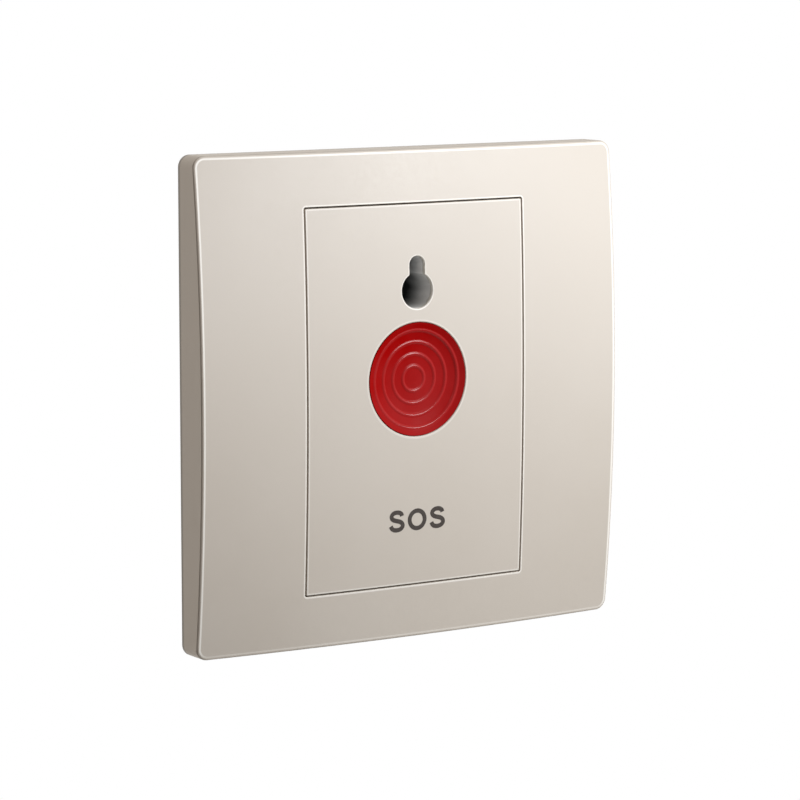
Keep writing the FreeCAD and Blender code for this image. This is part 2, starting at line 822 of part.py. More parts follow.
def clip_windows():
    """Openings in the tub's side walls that the panel's hooks catch in."""
    half = panel_clip_width / 2 + panel_clip_gap
    top = panel_clip_reach - panel_clip_hook_height - panel_clip_gap
    windows = []
    for z in (-panel_clip_spread / 2, panel_clip_spread / 2):
        for side in (-1, 1):
            reach = sorted((side * (tub_inner_width / 2 - 0.5), side * tub_width))
            back = panel_clip_reach + panel_clip_gap
            windows.append(box(reach[0], reach[1], top, back, z - half, z + half))
    return windows


def rear_housing():
    """The rear half: walls, screw bosses, posts behind the latch, terminal pockets and wire holes."""
    body = rounded_block(tub_width, tub_height, tub_corner_radius, split, rear_outer)
    edges = [e for e in body.Edges if e.BoundBox.YMin > rear_outer - 0.01]
    body = body.makeFillet(0.8, edges)
    inner_radius = tub_corner_radius - tub_wall / 2
    room = rounded_block(tub_inner_width, tub_inner_height, inner_radius, split - 1, rear_inner)
    added = [round_bar(boss_radius, split, rear_inner, x, z) for x, z in four(boss_x, boss_z)]
    for z in (latch_tongue + post_thickness, latch_slot_bottom - post_thickness):
        low = z - post_thickness / 2
        high = z + post_thickness / 2
        added.append(box(-post_width / 2, post_width / 2, split, rear_inner, low, high))
    for clamp_z in (rest_clamp_z, call_clamp_z):
        for rib in pocket_ribs(clamp_z):
            added += [rib, mirrored(rib)]
    body = body.cut(room).fuse(added)
    cuts = []
    for x, z in four(boss_x, boss_z):
        head_seat = rear_outer - housing_head_length
        cuts.append(round_bar(housing_screw_radius + screw_gap, split - 1, ample, x, z))
        cuts.append(round_bar(housing_head_radius + screw_gap, head_seat, ample, x, z))
    for clamp_z in (rest_clamp_z, call_clamp_z):
        for side in (-1, 1):
            cuts.append(round_bar(wire_hole_radius, rear_inner - 1, ample, side * wire_x, clamp_z))
            near, far = sorted((side * clamp_outer, side * tub_width))
            hole = terminal_head_radius + 2 * screw_gap
            cuts.append(cross_bar(hole, near, far, terminal_screw_y, clamp_z))
    return body.cut(cuts[0].fuse(cuts[1:])).removeSplitter()


def pocket_ribs(clamp_z):
    """Ribs above and below one terminal clamp on the right."""
    ribs = []
    for side in (-1, 1):
        near = clamp_z + side * (clamp_size / 2 + pocket_gap)
        low, high = sorted((near, near + side * pocket_rib))
        reach = tub_inner_width / 2 + pocket_gap
        ribs.append(box(tail_outer + screw_gap, reach, clamp_front, rear_inner, low, high))
    return ribs


def rivet(head_front, head_back, x):
    """A contact rivet along Y with a head at each end of a strip or bridge that lies between."""
    front = round_bar(rivet_radius, head_front[0], head_front[1], x, button_z)
    back = round_bar(rivet_radius, head_back[0], head_back[1], x, button_z)
    shank = round_bar(rivet_shank_radius, head_front[0], head_back[1], x, button_z)
    return join(front, back, shank)


def rivet_holes(y0, y1):
    """Holes for two rivets through whatever lies between y0 and y1."""
    hole = round_bar(rivet_shank_radius, y0, y1, contact_offset, button_z)
    return hole.fuse(mirrored(hole))


def contact_bridge():
    """The moving strip that joins one pair of contacts or the other."""
    half = contact_offset + bridge_overhang
    strip = rounded_block(2 * half, bridge_width, 1.0, bridge_front, bridge_back, 0, button_z)
    return strip.cut(rivet_holes(bridge_front - 1, bridge_back + 1))


def bridge_rivets():
    """The two rivets of the bridge, with a head on each face."""
    front = (bridge_front - rivet_head, bridge_front)
    back = (bridge_back, bridge_back + rivet_head)
    return Part.makeCompound([rivet(front, back, s * contact_offset) for s in (-1, 1)])


def strip_rivets():
    """The rivets of the four fixed strips."""
    rest_back = rest_strip_front + strip_thickness
    rest = ((rest_strip_front - rivet_head / 2, rest_strip_front), (rest_back, rest_back + rivet_head))
    call_front = (call_strip_front - rivet_head, call_strip_front)
    call = (call_front, (call_strip_back, call_strip_back + rivet_head / 2))
    rivets = [rivet(front, back, s * contact_offset) for front, back in (rest, call) for s in (-1, 1)]
    return Part.makeCompound(rivets)


def strip_outline(corners):
    """The part of a strip that stands along Y and Z, from its (y, z) corners, on the right."""
    points = [Vector(tail_inner, y, z) for y, z in corners]
    return Part.Face(Part.makePolygon(points + points[:1])).extrude(Vector(strip_thickness, 0, 0))


def tongue(front):
    """The part of a strip that reaches in to its rivet, folded from its outer end."""
    start = contact_offset - rivet_radius - 0.2
    half = strip_width / 2
    return box(start, tail_outer, front, front + strip_thickness, button_z - half, button_z + half)


def rest_strip():
    """Right-hand fixed strip that the bridge touches at rest: tongue, riser and tail in its clamp."""
    half = strip_width / 2
    tail_end = clamp_back - 1.0
    riser = rest_strip_front + strip_width / 2
    corners = [
        (rest_strip_front, button_z - half),
        (riser, button_z - half),
        (riser, rest_clamp_z - half),
        (tail_end, rest_clamp_z - half),
        (tail_end, rest_clamp_z + half),
        (rest_strip_front, rest_clamp_z + half),
    ]
    strip = join(strip_outline(corners), tongue(rest_strip_front))
    return strip.cut(rivet_holes(rest_strip_front - 1, rest_strip_front + strip_thickness + 1))


def call_strip():
    """Right-hand fixed strip that the bridge touches when pressed, led round the clamp's front."""
    half = strip_width / 2
    tail_end = clamp_back - 1.0
    riser = rest_strip_front + strip_width / 2
    shelf = call_clamp_z + clamp_size / 2 + pocket_gap + pocket_rib + pocket_gap
    corners = [
        (rest_strip_front, call_clamp_z - half),
        (tail_end, call_clamp_z - half),
        (tail_end, call_clamp_z + half),
        (riser, call_clamp_z + half),
        (riser, shelf),
        (call_strip_back, shelf),
        (call_strip_back, button_z + half),
        (call_strip_back - half, button_z + half),
        (call_strip_back - half, shelf + half),
        (rest_strip_front, shelf + half),
    ]
    strip = join(strip_outline(corners), tongue(call_strip_front))
    return strip.cut(rivet_holes(call_strip_front - 1, call_strip_back + 1))


def terminal_clamp(clamp_z):
    """Right-hand cage clamp: a short rectangular tube along the wire with a tapped outer wall."""
    half = clamp_size / 2
    cage = box(clamp_inner, clamp_outer, clamp_front, clamp_back, clamp_z - half, clamp_z + half)
    edges = [e for e in cage.Edges if e.BoundBox.YLength > 0.5 * clamp_length]
    cage = cage.makeFillet(0.6, edges)
    way = box(
        clamp_inner + clamp_wall,
        clamp_outer - clamp_wall,
        clamp_front - 1,
        clamp_back + 1,
        clamp_z - half + clamp_wall,
        clamp_z + half - clamp_wall,
    )
    hole = terminal_screw_radius + screw_gap / 2
    thread = cross_bar(hole, clamp_outer - clamp_wall - 1, ample, terminal_screw_y, clamp_z)
    return cage.cut(way.fuse(thread))


def terminal_screws():
    """The four clamp screws, heads outwards in the side walls."""
    length = clamp_wall + screw_gap + terminal_screw_bite
    screws = []
    for clamp_z in (rest_clamp_z, call_clamp_z):
        screw = slotted_screw(terminal_screw_radius, length, terminal_head_radius, terminal_head_length)
        screw.rotate(Vector(0, 0, 0), Vector(0, 0, 1), 90)
        screw.translate(Vector(clamp_outer + screw_gap + terminal_head_length, terminal_screw_y, clamp_z))
        screws += [screw, mirrored(screw)]
    return Part.makeCompound(screws)


def housing_screws():
    """The four screws that hold the rear housing on the front one."""
    length = rear_outer - housing_head_length - split + housing_screw_grip - 0.5
    screws = []
    for x, z in four(boss_x, boss_z):
        screw = slotted_screw(housing_screw_radius, length, housing_head_radius, housing_head_length)
        screw.rotate(Vector(0, 0, 0), Vector(0, 0, 1), 180)
        screw.translate(Vector(x, rear_outer, z))
        screws.append(screw)
    return Part.makeCompound(screws)


def bracket_screws():
    """The four screws that hold the front housing's flange on the fixing frame."""
    length = flange_thickness + frame_plate + frame_standoff - 0.3
    screws = []
    for x, z in four(bracket_screw_x, bracket_screw_z):
        screw = slotted_screw(bracket_screw_radius, length, bracket_head_radius, bracket_head_length)
        screw.translate(Vector(x, flange_front - bracket_head_length, z))
        screws.append(screw)
    return Part.makeCompound(screws)


def build():
    """Every sub-part by its node's name."""
    rest = rest_strip()
    call = call_strip()
    rest_clamp = terminal_clamp(rest_clamp_z)
    call_clamp = terminal_clamp(call_clamp_z)
    return {
        "cover_frame": cover_frame(),
        "centre_panel": centre_panel(),
        "key_guide": key_guide(),
        "push_button": push_button(),
        "plunger": plunger(),
        "return_spring": return_spring(),
        "contact_bridge": contact_bridge(),
        "bridge_rivets": bridge_rivets(),
        "contact_spring": contact_spring(),
        "latch_slider": latch_slider(),
        "latch_spring": latch_spring(),
        "key_rotor": key_rotor(),
        "fixing_frame": fixing_frame(),
        "front_housing": front_housing(),
        "rear_housing": rear_housing(),
        "housing_screws": housing_screws(),
        "bracket_screws": bracket_screws(),
        "rest_contact_right": rest,
        "rest_contact_left": mirrored(rest),
        "call_contact_right": call,
        "call_contact_left": mirrored(call),
        "strip_rivets": strip_rivets(),
        "rest_clamp_right": rest_clamp,
        "rest_clamp_left": mirrored(rest_clamp),
        "call_clamp_right": call_clamp,
        "call_clamp_left": mirrored(call_clamp),
        "terminal_screws": terminal_screws(),
    }


os.makedirs("parts", exist_ok=True)
for name, shape in build().items():
    shape.exportStep("parts/" + name + ".step")
    room = shape.BoundBox
    print(f"{name}: {len(shape.Solids)} solid, valid {shape.isValid()}, {shape.Volume:.1f} mm3")
    print(f"    x {room.XMin:.2f} to {room.XMax:.2f}, y {room.YMin:.2f} to {room.YMax:.2f}, ", end="")
    print(f"z {room.ZMin:.2f} to {room.ZMax:.2f}")
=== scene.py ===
import json
import logging
import math
from dataclasses import dataclass, field
from enum import Enum
from functools import partial, reduce
from typing import Any, ClassVar, Optional, Sequence

import bmesh
import bpy
from mathutils import Matrix, Vector
from mathutils.bvhtree import BVHTree


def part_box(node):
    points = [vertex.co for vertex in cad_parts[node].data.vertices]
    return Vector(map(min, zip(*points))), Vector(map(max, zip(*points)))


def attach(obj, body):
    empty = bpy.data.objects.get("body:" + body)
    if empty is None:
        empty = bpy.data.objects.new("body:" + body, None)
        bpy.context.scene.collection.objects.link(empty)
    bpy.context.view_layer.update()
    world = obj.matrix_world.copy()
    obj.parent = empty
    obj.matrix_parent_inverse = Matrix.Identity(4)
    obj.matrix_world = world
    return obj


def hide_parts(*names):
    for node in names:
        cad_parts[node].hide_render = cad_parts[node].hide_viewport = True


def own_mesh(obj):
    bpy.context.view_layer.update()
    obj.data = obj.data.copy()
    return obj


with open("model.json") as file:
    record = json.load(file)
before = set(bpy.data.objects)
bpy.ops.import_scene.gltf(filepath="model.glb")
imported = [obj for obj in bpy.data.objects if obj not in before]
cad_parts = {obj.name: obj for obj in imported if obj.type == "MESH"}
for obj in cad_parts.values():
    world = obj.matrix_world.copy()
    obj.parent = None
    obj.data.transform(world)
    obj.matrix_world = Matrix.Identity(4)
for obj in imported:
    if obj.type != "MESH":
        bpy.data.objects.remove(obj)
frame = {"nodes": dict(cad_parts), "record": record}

log = logging.getLogger("emergency_key_switch")

MM = 0.001
WELD = 1e-7
SLOT_CUTTER = 0.02
DRIVEN_TURN = 0.7
Pair = tuple[float, float]
Triple = tuple[float, float, float]
Colour = Triple
Socket = bpy.types.NodeSocket
Tree = bpy.types.NodeTree


class Group(Enum):
    """The bodies that the scene's own pieces ride on."""

    BASE = "base"
    BUTTON = "button"


class Slot(Enum):
    """Finishes named by the record."""

    LACQUER = "satin_lacquer"
    RED = "red_plastic"
    GREY = "grey_plastic"
    DARK = "dark_plastic"
    WHITE = "white_plastic"
    NATURAL = "natural_plastic"
    SPRING = "spring_steel"
    PLATED = "plated_steel"
    BRASS = "contact_brass"
    SILVER = "contact_silver"


class Wiring:
    """A node tree with short ways to add and join nodes."""

    def __init__(self, tree: Tree) -> None:
        """Take over a tree and empty it."""
        self.tree = tree
        self.tree.nodes.clear()

    def add(
        self, kind: str, settings: Optional[dict[str, Any]] = None, **inputs: Any
    ) -> bpy.types.Node:
        """Add a node.

        Args:
            kind: the node's Blender type.
            settings: attributes set on the node itself.
            inputs: values or sockets for its inputs, by name with underscores for spaces.

        Returns:
            The new node.
        """
        node = self.tree.nodes.new(kind)
        for key, value in (settings or {}).items():
            setattr(node, key, value)
        for key, value in inputs.items():
            self.feed(node.inputs[key.replace("_", " ")], value)
        return node

    def first(self, *kind: Any, **inputs: Any) -> Socket:
        """Add a node and give its first output."""
        return self.add(*kind, **inputs).outputs[0]

    def feed(self, socket: Socket, value: Any) -> None:
        """Join a socket to an input, or set the input's own value.

        Args:
            socket: the input.
            value: another node's output, or a plain value.
        """
        if isinstance(value, Socket):
            self.tree.links.new(value, socket)
        else:
            socket.default_value = value

    def join(self, node: bpy.types.Node, *values: Any) -> Socket:
        """Feed a node's inputs in their order.

        Args:
            node: the node.
            values: values or sockets for its first inputs.

        Returns:
            The node's first output.
        """
        for socket, value in zip(node.inputs, values):
            self.feed(socket, value)
        return node.outputs[0]

    def math(self, operation: str, first: Any, second: Any = 0.0, clamp: bool = False) -> Socket:
        """Combine two values or sockets; clamp holds the result between 0 and 1."""
        node = self.add("ShaderNodeMath", {"operation": operation, "use_clamp": clamp})
        return self.join(node, first, second)

    def times(self, *values: Any) -> Socket:
        """Multiply two or more values or sockets."""
        return reduce(partial(self.math, "MULTIPLY"), values)

    def total(self, *values: Any) -> Socket:
        """Add up two or more values or sockets."""
        return reduce(partial(self.math, "ADD"), values)

    def split(self, vector: Socket) -> bpy.types.bpy_prop_collection:
        """The X, Y and Z of a vector, as sockets."""
        return self.add("ShaderNodeSeparateXYZ", Vector=vector).outputs

    def spread(self, value: Any, low: Any, high: Any, start: Any = 0.3, end: Any = 0.7) -> Socket:
        """Map a value onto low to high, as it goes from start to end, and hold it there."""
        limits = {"From_Min": start, "From_Max": end, "To_Min": low, "To_Max": high}
        return self.first("ShaderNodeMapRange", Value=value, **limits)

    def blend(self, share: Any, first: Any, second: Colour) -> Socket:
        """Mix two colours.

        Args:
            share: how much of the second, from 0 to 1.
            first: a colour or a colour's socket.
            second: the other colour.

        Returns:
            The mixed colour's socket.
        """
        under = (*first, 1.0) if isinstance(first, tuple) else first
        return self.first("ShaderNodeMixRGB", Fac=share, Color1=under, Color2=(*second, 1.0))


class Graph(Wiring):
    """A material's node tree, with the object coordinates that its patterns are read at."""

    def __init__(self, name: str) -> None:
        """Start an empty material.

        Args:
            name: the material's name.
        """
        self.material = bpy.data.materials.new(name)
        self.material.use_nodes = True
        super().__init__(self.material.node_tree)
        self.place = self.add("ShaderNodeTexCoord").outputs["Object"]

    @property
    def parts(self) -> bpy.types.bpy_prop_collection:
        """The X, Y and Z of the object coordinates."""
        return self.split(self.place)

    def end(self, surface: Socket) -> bpy.types.Material:
        """Wire a shader to the surface, and give the finished material."""
        self.add("ShaderNodeOutputMaterial", Surface=surface)
        return self.material


class Recipe(Wiring):
    """A geometry node group with named inputs that makes one kind of piece."""

    FLANK: ClassVar[Pair] = (0.08, 0.42)
    KINDS: ClassVar[dict[type, str]] = {float: "Float", int: "Int", tuple: "Vector"}

    def __init__(self, name: str, inputs: dict[str, Any]) -> None:
        """Start a group with its inputs.

        Args:
            name: the group's name.
            inputs: default value of each named input, besides Geometry and Material.
        """
        group = bpy.data.node_groups.new(name, "GeometryNodeTree")
        super().__init__(group)
        face = group.interface
        face.new_socket("Geometry", in_out="OUTPUT", socket_type="NodeSocketGeometry")
        face.new_socket("Geometry", in_out="INPUT", socket_type="NodeSocketGeometry")
        for label, value in inputs.items():
            kind = "NodeSocket" + self.KINDS[type(value)]
            face.new_socket(label, in_out="INPUT", socket_type=kind).default_value = value
        face.new_socket("Material", in_out="INPUT", socket_type="NodeSocketMaterial")
        self.given = self.add("NodeGroupInput").outputs

    def whole(self, operation: str, first: Any, second: Any) -> Socket:
        """Combine two whole numbers or their sockets."""
        return self.join(self.add("FunctionNodeIntegerMath", {"operation": operation}), first, second)

    def vector(self, x: Any, y: Any, z: Any) -> Socket:
        """Make a vector from three values or sockets."""
        return self.first("ShaderNodeCombineXYZ", X=x, Y=y, Z=z)

    def around(self, radius: Any, level: Any, angle: Any) -> Socket:
        """A place at a radius and level about the Y axis, turned by an angle in radians."""
        x, z = (self.times(radius, self.math(part, angle)) for part in ("COSINE", "SINE"))
        return self.vector(x, level, z)

    def turned(self, thread: bool = False) -> Socket:
        """Turn the given half section (radius along X, level along Y) about the Y axis.

        Args:
            thread: whether the surface between Thread Start and Thread End carries a screw thread.

        Returns:
            The closed surface's socket.
        """
        section = self.given["Geometry"]
        size = self.add("GeometryNodeAttributeDomainSize", Geometry=section)
        rows = size.outputs["Point Count"]
        columns = self.whole("ADD", self.given["Segments"], 1)
        grid = self.add("GeometryNodeMeshGrid", Vertices_X=rows, Vertices_Y=columns)
        index = self.first("GeometryNodeInputIndex")
        read = self.first(
            "GeometryNodeSampleIndex",
            {"data_type": "FLOAT_VECTOR"},
            Geometry=section,
            Value=self.first("GeometryNodeInputPosition"),
            Index=self.whole("DIVIDE_FLOOR", index, columns),
        )
        share = self.math("DIVIDE", self.whole("MODULO", index, columns), self.given["Segments"])
        parts = self.split(read)
        radius, level = parts["X"], parts["Y"]
        if thread:
            radius = self.math("SUBTRACT", radius, self.thread_depth(level, share))
        place = self.around(radius, level, self.times(share, 2 * math.pi))
        mesh = grid.outputs["Mesh"]
        moved = self.first("GeometryNodeSetPosition", Geometry=mesh, Position=place)
        return self.first("GeometryNodeMergeByDistance", Geometry=moved, Distance=WELD)

    def thread_depth(self, level: Socket, share: Socket) -> Socket:
        """How deep a screw thread is cut at a place.

        Args:
            level: place along the screw.
            share: turn about the screw, from 0 to 1.

        Returns:
            The depth's socket.
        """
        turns = self.math("ADD", self.math("DIVIDE", level, self.given["Thread Pitch"]), share)
        wave = self.math("PINGPONG", turns, 0.5)
        groove = self.spread(wave, 0.0, self.given["Thread Depth"], *self.FLANK)
        after = self.math("GREATER_THAN", level, self.given["Thread Start"])
        before = self.math("LESS_THAN", level, self.given["Thread End"])
        return self.times(groove, after, before)

    def finish(self, geometry: Socket) -> Tree:
        """End the group with real geometry and its material.

        Args:
            geometry: what the group has made.

        Returns:
            The finished group.
        """
        real = self.first("GeometryNodeRealizeInstances", Geometry=geometry)
        finish = self.given["Material"]
        coated = self.first("GeometryNodeSetMaterial", Geometry=real, Material=finish)
        self.tree.links.new(coated, self.add("NodeGroupOutput").inputs[0])
        return self.tree


def coil_recipe() -> Tree:
    """A compression spring along Y with one closed turn at each end.

    Returns:
        The node group.
    """
    recipe = Recipe(
        "coil_spring",
        {
            "Coil Radius": 0.005,
            "Wire Radius": 0.0004,
            "Length": 0.008,
            "Turns": 5.0,
            "Steps": 240,
            "Wire Sides": 14,
        },
    )
    given = recipe.given
    line = recipe.first("GeometryNodeCurvePrimitiveLine", End=(0.0, 1.0, 0.0))
    fine = recipe.first("GeometryNodeResampleCurve", Curve=line, Count=given["Steps"])
    share = recipe.add("GeometryNodeSplineParameter").outputs["Factor"]
    turned = recipe.times(share, given["Turns"])
    wire = recipe.times(given["Wire Radius"], 2.0)
    last = recipe.math("SUBTRACT", given["Turns"], 1.0)
    first_closed = recipe.spread(turned, 0.0, 1.0, 0.0, 1.0)
    last_closed = recipe.spread(turned, 0.0, 1.0, last, given["Turns"])
    closed = recipe.times(wire, recipe.total(first_closed, last_closed))
    open_length = recipe.math("SUBTRACT", given["Length"], recipe.times(wire, 3.0))
    rise = recipe.times(open_length, recipe.spread(turned, 0.0, 1.0, 1.0, last))
    level = recipe.total(given["Wire Radius"], recipe.total(rise, closed))
    place = recipe.around(given["Coil Radius"], level, recipe.times(turned, 2 * math.pi))
    path = recipe.first("GeometryNodeSetPosition", Geometry=fine, Position=place)
    sides, radius = given["Wire Sides"], given["Wire Radius"]
    ring = recipe.first("GeometryNodeCurvePrimitiveCircle", Resolution=sides, Radius=radius)
    curves = {"Curve": path, "Profile_Curve": ring, "Fill_Caps": True}
    return recipe.finish(recipe.first("GeometryNodeCurveToMesh", **curves))


def cap_recipe() -> Tree:
    """A piece turned about Y from its half section."""
    recipe = Recipe("turned_cap", {"Segments": 160})
    return recipe.finish(recipe.turned())


def screw_recipe() -> Tree:
    """Four slotted screws at the corners of a rectangle, turned from one half section.

    Returns:
        The node group.
    """
    recipe = Recipe(
        "slotted_screws",
        {
            "Segments": 40,
            "Thread Pitch": 0.0005,
            "Thread Depth": 0.0002,
            "Thread Start": 0.0,
            "Thread End": 0.01,
            "Slot Width": 0.0008,
            "Slot Depth": 0.0008,
            "Spread": (0.02, 0.0, 0.02),
            "Middle": (0.0, 0.0, 0.0),
            "Turn": 0.0,
            "Side Turn": 0.0,
            "Seed": 7,
        },
    )
    given = recipe.given
    depth = recipe.times(given["Slot Depth"], 2.0)
    bar = recipe.vector(SLOT_CUTTER, depth, given["Slot Width"])
    cutter = recipe.add("GeometryNodeMeshCube", Size=bar)
    screw = recipe.add("GeometryNodeMeshBoolean", {"operation": "DIFFERENCE", "solver": "EXACT"})
    recipe.feed(screw.inputs["Mesh 1"], recipe.turned(True))
    recipe.feed(screw.inputs["Mesh 2"], cutter.outputs["Mesh"])
    spread = recipe.split(given["Spread"])
    size = {"Size_X": spread["X"], "Size_Y": spread["Z"]}
    seats = recipe.add("GeometryNodeMeshGrid", **size, Vertices_X=2, Vertices_Y=2).outputs["Mesh"]
    flat = recipe.split(recipe.first("GeometryNodeInputPosition"))
    standing = recipe.first(
        "GeometryNodeSetPosition",
        Geometry=seats,
        Position=recipe.vector(flat["X"], 0.0, flat["Y"]),
        Offset=given["Middle"],
    )
    side = recipe.math("SIGN", flat["X"])
    turn = recipe.total(given["Turn"], recipe.times(side, given["Side Turn"]))
    span = {"Min": -DRIVEN_TURN, "Max": DRIVEN_TURN, "Seed": given["Seed"]}
    driven = recipe.add("FunctionNodeRandomValue", {"data_type": "FLOAT"}, **span).outputs[1]
    angles = (recipe.vector(0.0, 0.0, turn), recipe.vector(0.0, driven, 0.0))
    facing, own = (recipe.first("FunctionNodeEulerToRotation", Euler=angle) for angle in angles)
    local = {"rotation_space": "LOCAL"}
    both = recipe.first("FunctionNodeRotateRotation", local, Rotation=facing, Rotate_By=own)
    each = {"Instance": screw.outputs["Mesh"], "Rotation": both}
    return recipe.finish(recipe.first("GeometryNodeInstanceOnPoints", Points=standing, **each))


@dataclass(frozen=True)
class Pattern:
    """A noise: its frequency in cycles per metre, its octaves, and how it is stretched."""

    scale: float
    detail: float
    roughness: float = 0.55
    stretch: Optional[Triple] = None

    def on(self, graph: Graph) -> Socket:
        """Wire the noise.

        Args:
            graph: the material's node tree.

        Returns:
            Its value between 0 and 1.
        """
        where = graph.place
        if self.stretch:
            where = graph.first("ShaderNodeMapping", Vector=where, Scale=self.stretch)
        kind = {"Scale": self.scale, "Detail": self.detail, "Roughness": self.roughness}
        return graph.first("ShaderNodeTexNoise", Vector=where, **kind)


CLOUDS = Pattern(38.0, 4.0)
# ragged edge of the grey plastic's painted depth shade
DEPTH_SHADE_NOISE = Pattern(700.0, 3.0, 0.55, (1.0, 0.2, 1.0))
INK_SPECKLE = Pattern(2400.0, 3.0)
FLOOR_CLOUDS = Pattern(3.0, 3.0)
CRYSTALS = 3400.0


class Grain(Enum):
    """How a surface is broken up at close range: its marks and its finest texture."""

    LACQUER = (Pattern(2600.0, 3.0, 0.65), Pattern(5200.0, 2.0, 0.6))
    MOULDED = (Pattern(1700.0, 4.0, 0.6), Pattern(3600.0, 2.0, 0.6))
    POLISHED = (Pattern(420.0, 3.0, 0.5), Pattern(1500.0, 2.0, 0.6))
    BRUSHED = (Pattern(260.0, 5.0, 0.7, (1.0, 24.0, 24.0)), Pattern(2600.0, 2.0, 0.6))
    PLATED = (Pattern(900.0, 5.0, 0.7), Pattern(2600.0, 2.0, 0.6))


@dataclass(frozen=True)
class Finish:
    """A procedural finish: its colour, gloss and the small marks that break it up."""

    MARKS_TONE: ClassVar[float] = 0.5
    CLOUD_SATURATION: ClassVar[Pair] = (1.03, 0.97)
    MARKS_GLOSS: ClassVar[float] = 0.05
    CLOUD_GLOSS: ClassVar[float] = 0.03
    MARKS_HEIGHT: ClassVar[float] = 0.7
    FINE_HEIGHT: ClassVar[float] = 0.3
    BUMP_GAIN: ClassVar[float] = 10.0
    BUMP_DEPTH: ClassVar[float] = 0.00002

    slot: Slot
    colour: Colour
    grain: Grain
    roughness: float
    metallic: float = 0.0
    coat: float = 0.0
    coat_roughness: float = 0.2
    variation: float = 0.03
    bump: float = 0.02
    specular: float = 0.5

    def build(self) -> bpy.types.Material:
        """Make the material.

        Returns:
            The finished material.
        """
        graph = Graph(self.slot.value + "_finish")
        cloud = CLOUDS.on(graph)
        marks, fine = (pattern.on(graph) for pattern in self.grain.value)
        if self.grain is Grain.PLATED:
            cells = graph.add("ShaderNodeTexVoronoi", Vector=graph.place, Scale=CRYSTALS)
            marks = graph.times(graph.total(cells.outputs["Distance"], marks), 0.5)
        uneven = self.MARKS_TONE * self.variation
        shade = graph.total(
            graph.spread(cloud, 1.0 - self.variation, 1.0 + self.variation),
            graph.spread(marks, -uneven, uneven),
        )
        colour = graph.first(
            "ShaderNodeHueSaturation",
            Color=self.tone(graph),
            Value=shade,
            Saturation=graph.spread(cloud, *self.CLOUD_SATURATION),
        )
        rubbed_sheen = graph.spread(marks, -self.MARKS_GLOSS, self.MARKS_GLOSS)
        smeared = graph.spread(cloud, -self.CLOUD_GLOSS, self.CLOUD_GLOSS)
        height = graph.total(
            graph.times(marks, self.MARKS_HEIGHT),
            graph.times(fine, self.FINE_HEIGHT),
        )
        strength = self.bump * self.BUMP_GAIN
        relief = {"Height": height, "Strength": strength, "Distance": self.BUMP_DEPTH}
        shader = graph.first(
            "ShaderNodeBsdfPrincipled",
            Base_Color=colour,
            Metallic=self.metallic,
            Roughness=graph.math("ADD", graph.total(self.gloss(graph), rubbed_sheen), smeared, True),
            Normal=graph.first("ShaderNodeBump", **relief),
            Coat_Weight=self.glaze(graph),
            Coat_Roughness=self.coat_roughness,
            Specular_IOR_Level=self.specular,
        )
        return graph.end(shader)

    def tone(self, graph: Graph) -> Any:
        """The base colour, or its socket, before it is broken up."""
        return (*self.colour, 1.0)

    def gloss(self, graph: Graph) -> Any:
        """The base roughness, or its socket, before it is broken up."""
        return self.roughness

    def glaze(self, graph: Graph) -> Any:
        """How much clear gloss lies on the surface, as a value or its socket."""
        return self.coat


@dataclass(frozen=True)
class RingedFinish(Finish):
    """Moulded plastic whose raised rings are polished by fingers, in a duller dish; their crests are
    painted paler, a painted highlight that is partly rubbed wear.

    Lengths are in millimetres: the rings' axis and places, a crest's width, and the middle
    that carries no ring.
    """

    axis_height: float = 2.8
    first_ring: float = 2.2
    ring_step: float = 2.12
    crest: float = 0.42
    polish: float = 0.26
    crest_glaze: float = 0.36
    middle: Pair = (1.0, 1.5)
    # painted highlight: a paler red on the crests, partly rubbed wear
    rubbed_sheen: Colour = (0.375, 0.014, 0.014)

    def on_crest(self, graph: Graph) -> Socket:
        """Whether a place is on a ring's crest.

        Args:
            graph: the material's node tree.

        Returns:
            A value from 0 between the rings, and in their middle, to 1 on them.
        """
        parts = graph.parts
        height = graph.math("SUBTRACT", parts["Z"], self.axis_height * MM)
        square = graph.total(graph.math("POWER", parts["X"], 2.0), graph.times(height, height))
        radius = graph.math("SQRT", square)
        beyond = graph.math("SUBTRACT", radius, self.first_ring * MM)
        steps = graph.math("DIVIDE", beyond, self.ring_step * MM)
        off = graph.times(graph.math("PINGPONG", steps, 0.5), self.ring_step)
        ring = graph.spread(off, 1.0, 0.0, 0.5 * self.crest, self.crest)
        inner, outer = self.middle
        return graph.times(ring, graph.spread(radius, 0.0, 1.0, inner * MM, outer * MM))

    def gloss(self, graph: Graph) -> Any:
        """Lower roughness on the rings."""
        return graph.spread(self.on_crest(graph), self.roughness, self.polish, 0.0, 1.0)

    def glaze(self, graph: Graph) -> Any:
        """Clear gloss on the rings alone."""
        return graph.spread(self.on_crest(graph), 0.0, self.crest_glaze, 0.0, 1.0)

    def tone(self, graph: Graph) -> Any:
        """The colour, painted a little paler on the rings' crests: a painted highlight, partly rubbed
        wear.
        """
        return graph.blend(self.on_crest(graph), self.colour, self.rubbed_sheen)


